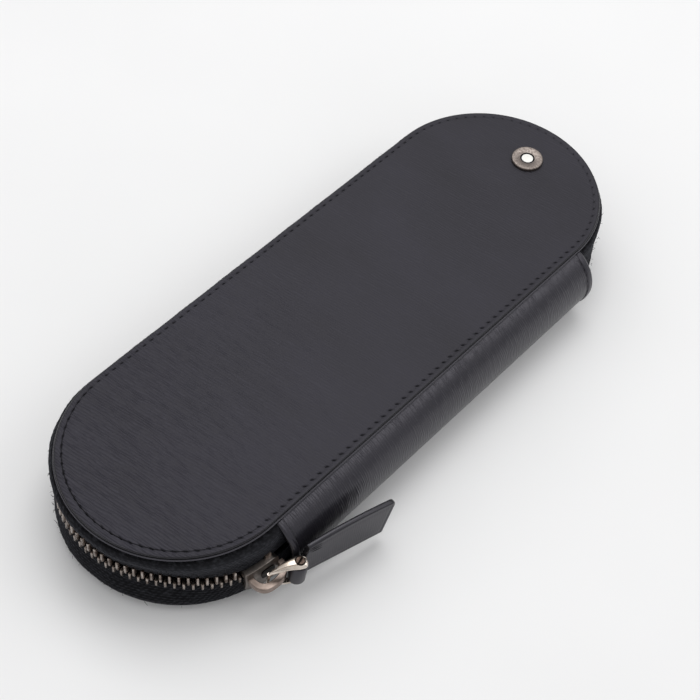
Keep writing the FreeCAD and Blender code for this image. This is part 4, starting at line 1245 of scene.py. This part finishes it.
def pen_band(node):
    """Elastic band: flat feet and three loops, ribbed along its length and swept across its width."""
    low, high = box_mm(node)
    floor = low[2]
    bow = np.linspace(0, math.pi, 33)
    loop_x = -LOOP_HALF * rounded(np.cos(bow), 0.75)
    loop_z = (high[2] - floor - BAND_THICK) * np.abs(np.sin(bow)) ** 0.75
    x = np.concatenate([[low[0]], loop_x - LOOP_PITCH, loop_x, loop_x + LOOP_PITCH, [high[0]]])
    z = floor + BAND_THICK / 2 + np.concatenate([[0], loop_z, loop_z, loop_z, [0]])
    side_x, side_z = square_to(x, z)
    width = np.linspace(-1, 1, 49)
    across = np.concatenate([width, width[::-1]])[None, :]
    rib = 0.5 + 0.5 * np.cos(2 * math.pi * BAND_RIBS * width)
    half = BAND_THICK / 2 * (1 - 0.25 * rib) * np.where(np.abs(width) == 1, 0.5, 1)
    offset = np.concatenate([half, -half[::-1]])[None, :]
    place_x = x[:, None] + offset * side_x[:, None]
    place_y = (low[1] + high[1]) / 2 + across * (high[1] - low[1]) / 2
    place_z = z[:, None] + offset * side_z[:, None]
    points = grid_points(place_x, place_y, np.maximum(place_z, floor))
    make_piece(node + "_elastic", points, tube_faces(*points.shape[:2]), elastic_web, "base", "elastic",
               [node], sharp=60)


glued_lining("top_lining", -1, "lid")
glued_lining("bottom_lining", 1, "base")
pen_band("near_pen_band")
pen_band("far_pen_band")

KEPT_NODES = {
    "top_board": fibre_board, "bottom_board": fibre_board, "emblem_washer": pewter,
    "upper_top_stop": zip_nickel, "lower_top_stop": zip_nickel, "bottom_stop": zip_nickel,
}
for node, material in KEPT_NODES.items():
    frame["nodes"][node].data.materials.clear()
    frame["nodes"][node].data.materials.append(material)


# Stage, light and camera

VIEW_AZIMUTH = math.radians(37.825)
VIEW_ELEVATION = math.radians(52.543)
VIEW_ROLL = math.radians(5.228)
VIEW_DISTANCE = 420.2
VIEW_TARGET = Vector((9.40, -8.83, TOP))
VIEW_LENS = 84.4
SENSOR = 36
FLOOR_REACH = 3000
FLOOR_DROP = 0.02


def place_camera():
    """The photograph's camera: it looks at a point on the upper cover, turned a little about its axis."""
    back = Vector((math.sin(VIEW_AZIMUTH) * math.cos(VIEW_ELEVATION),
                   -math.cos(VIEW_AZIMUTH) * math.cos(VIEW_ELEVATION), math.sin(VIEW_ELEVATION)))
    level = Vector((math.cos(VIEW_AZIMUTH), math.sin(VIEW_AZIMUTH), 0))
    upright = back.cross(level)
    right = math.cos(VIEW_ROLL) * level + math.sin(VIEW_ROLL) * upright
    data = bpy.data.cameras.new("camera")
    data.lens = VIEW_LENS
    data.sensor_width = SENSOR
    data.clip_start = 0.01
    camera = bpy.data.objects.new("camera", data)
    turned = Matrix((right, back.cross(right), back)).transposed().to_4x4()
    camera.matrix_world = Matrix.Translation((VIEW_TARGET + VIEW_DISTANCE * back) * MM) @ turned
    bpy.context.scene.collection.objects.link(camera)
    bpy.context.scene.camera = camera


def lay_floor():
    """A plain pale sheet of card under the case, with a faint mottle."""
    material, tree, shader = new_material("matt_white_card", Roughness=0.9, Specular_IOR_Level=0.1)
    mottle = add(tree, "ShaderNodeTexNoise", {"Vector": millimetres(tree, (60, 60, 60)), "Scale": 1.0})
    tone = add(tree, "ShaderNodeValToRGB", {0: mottle}, stops=((0.3, "#ebebeb"), (0.7, "#ededed")))
    lead(tree, shader, Base_Color=tone)
    corners = np.array([(-1, -1, 0), (1, -1, 0), (1, 1, 0), (-1, 1, 0)]) * FLOOR_REACH * MM
    mesh = bpy.data.meshes.new("floor")
    mesh.from_pydata(corners.tolist(), [], [(0, 1, 2, 3)])
    mesh.materials.append(material)
    floor = bpy.data.objects.new("floor", mesh)
    floor.location.z = -FLOOR_DROP * MM
    bpy.context.scene.collection.objects.link(floor)


def soft_box(name, place, size, power):
    """A square soft box that points at the case, with its place and size in millimetres."""
    data = bpy.data.lights.new(name, "AREA")
    data.size = size * MM
    data.energy = power
    lamp = bpy.data.objects.new(name, data)
    lamp.location = Vector(place) * MM
    lamp.rotation_euler = (-lamp.location).to_track_quat("-Z", "Y").to_euler()
    bpy.context.scene.collection.objects.link(lamp)


def set_world():
    """Room light: bright overhead and dimmer towards the horizon, so that glossy curves show a dark band."""
    world = bpy.data.worlds.new("room")
    bpy.context.scene.world = world
    world.use_nodes = True
    tree = world.node_tree
    direction = add(tree, "ShaderNodeTexCoord", output="Generated")
    upward = add(tree, "ShaderNodeSeparateXYZ", {0: direction}, output="Z")
    height = add(tree, "ShaderNodeMapRange", {"Value": upward, "From Min": -0.1, "From Max": 1.0})
    sky = add(tree, "ShaderNodeValToRGB", {0: height},
              stops=((0.06, "#b4b5b8"), (0.26, "#cccdd0"), (0.45, "#e8e8ea"), (0.8, "#ffffff")))
    room = tree.nodes["Background"]
    lead(tree, room, Color=sky)
    room.inputs["Strength"].default_value = 0.8


set_world()
lay_floor()
soft_box("key", (-320, 590, 1430), 1000, 7.5)
soft_box("side", (540, 470, 640), 450, 1.0)
soft_box("fill", (-650, 250, 600), 400, 0.7)
place_camera()
bpy.context.scene.view_settings.view_transform = "Standard"
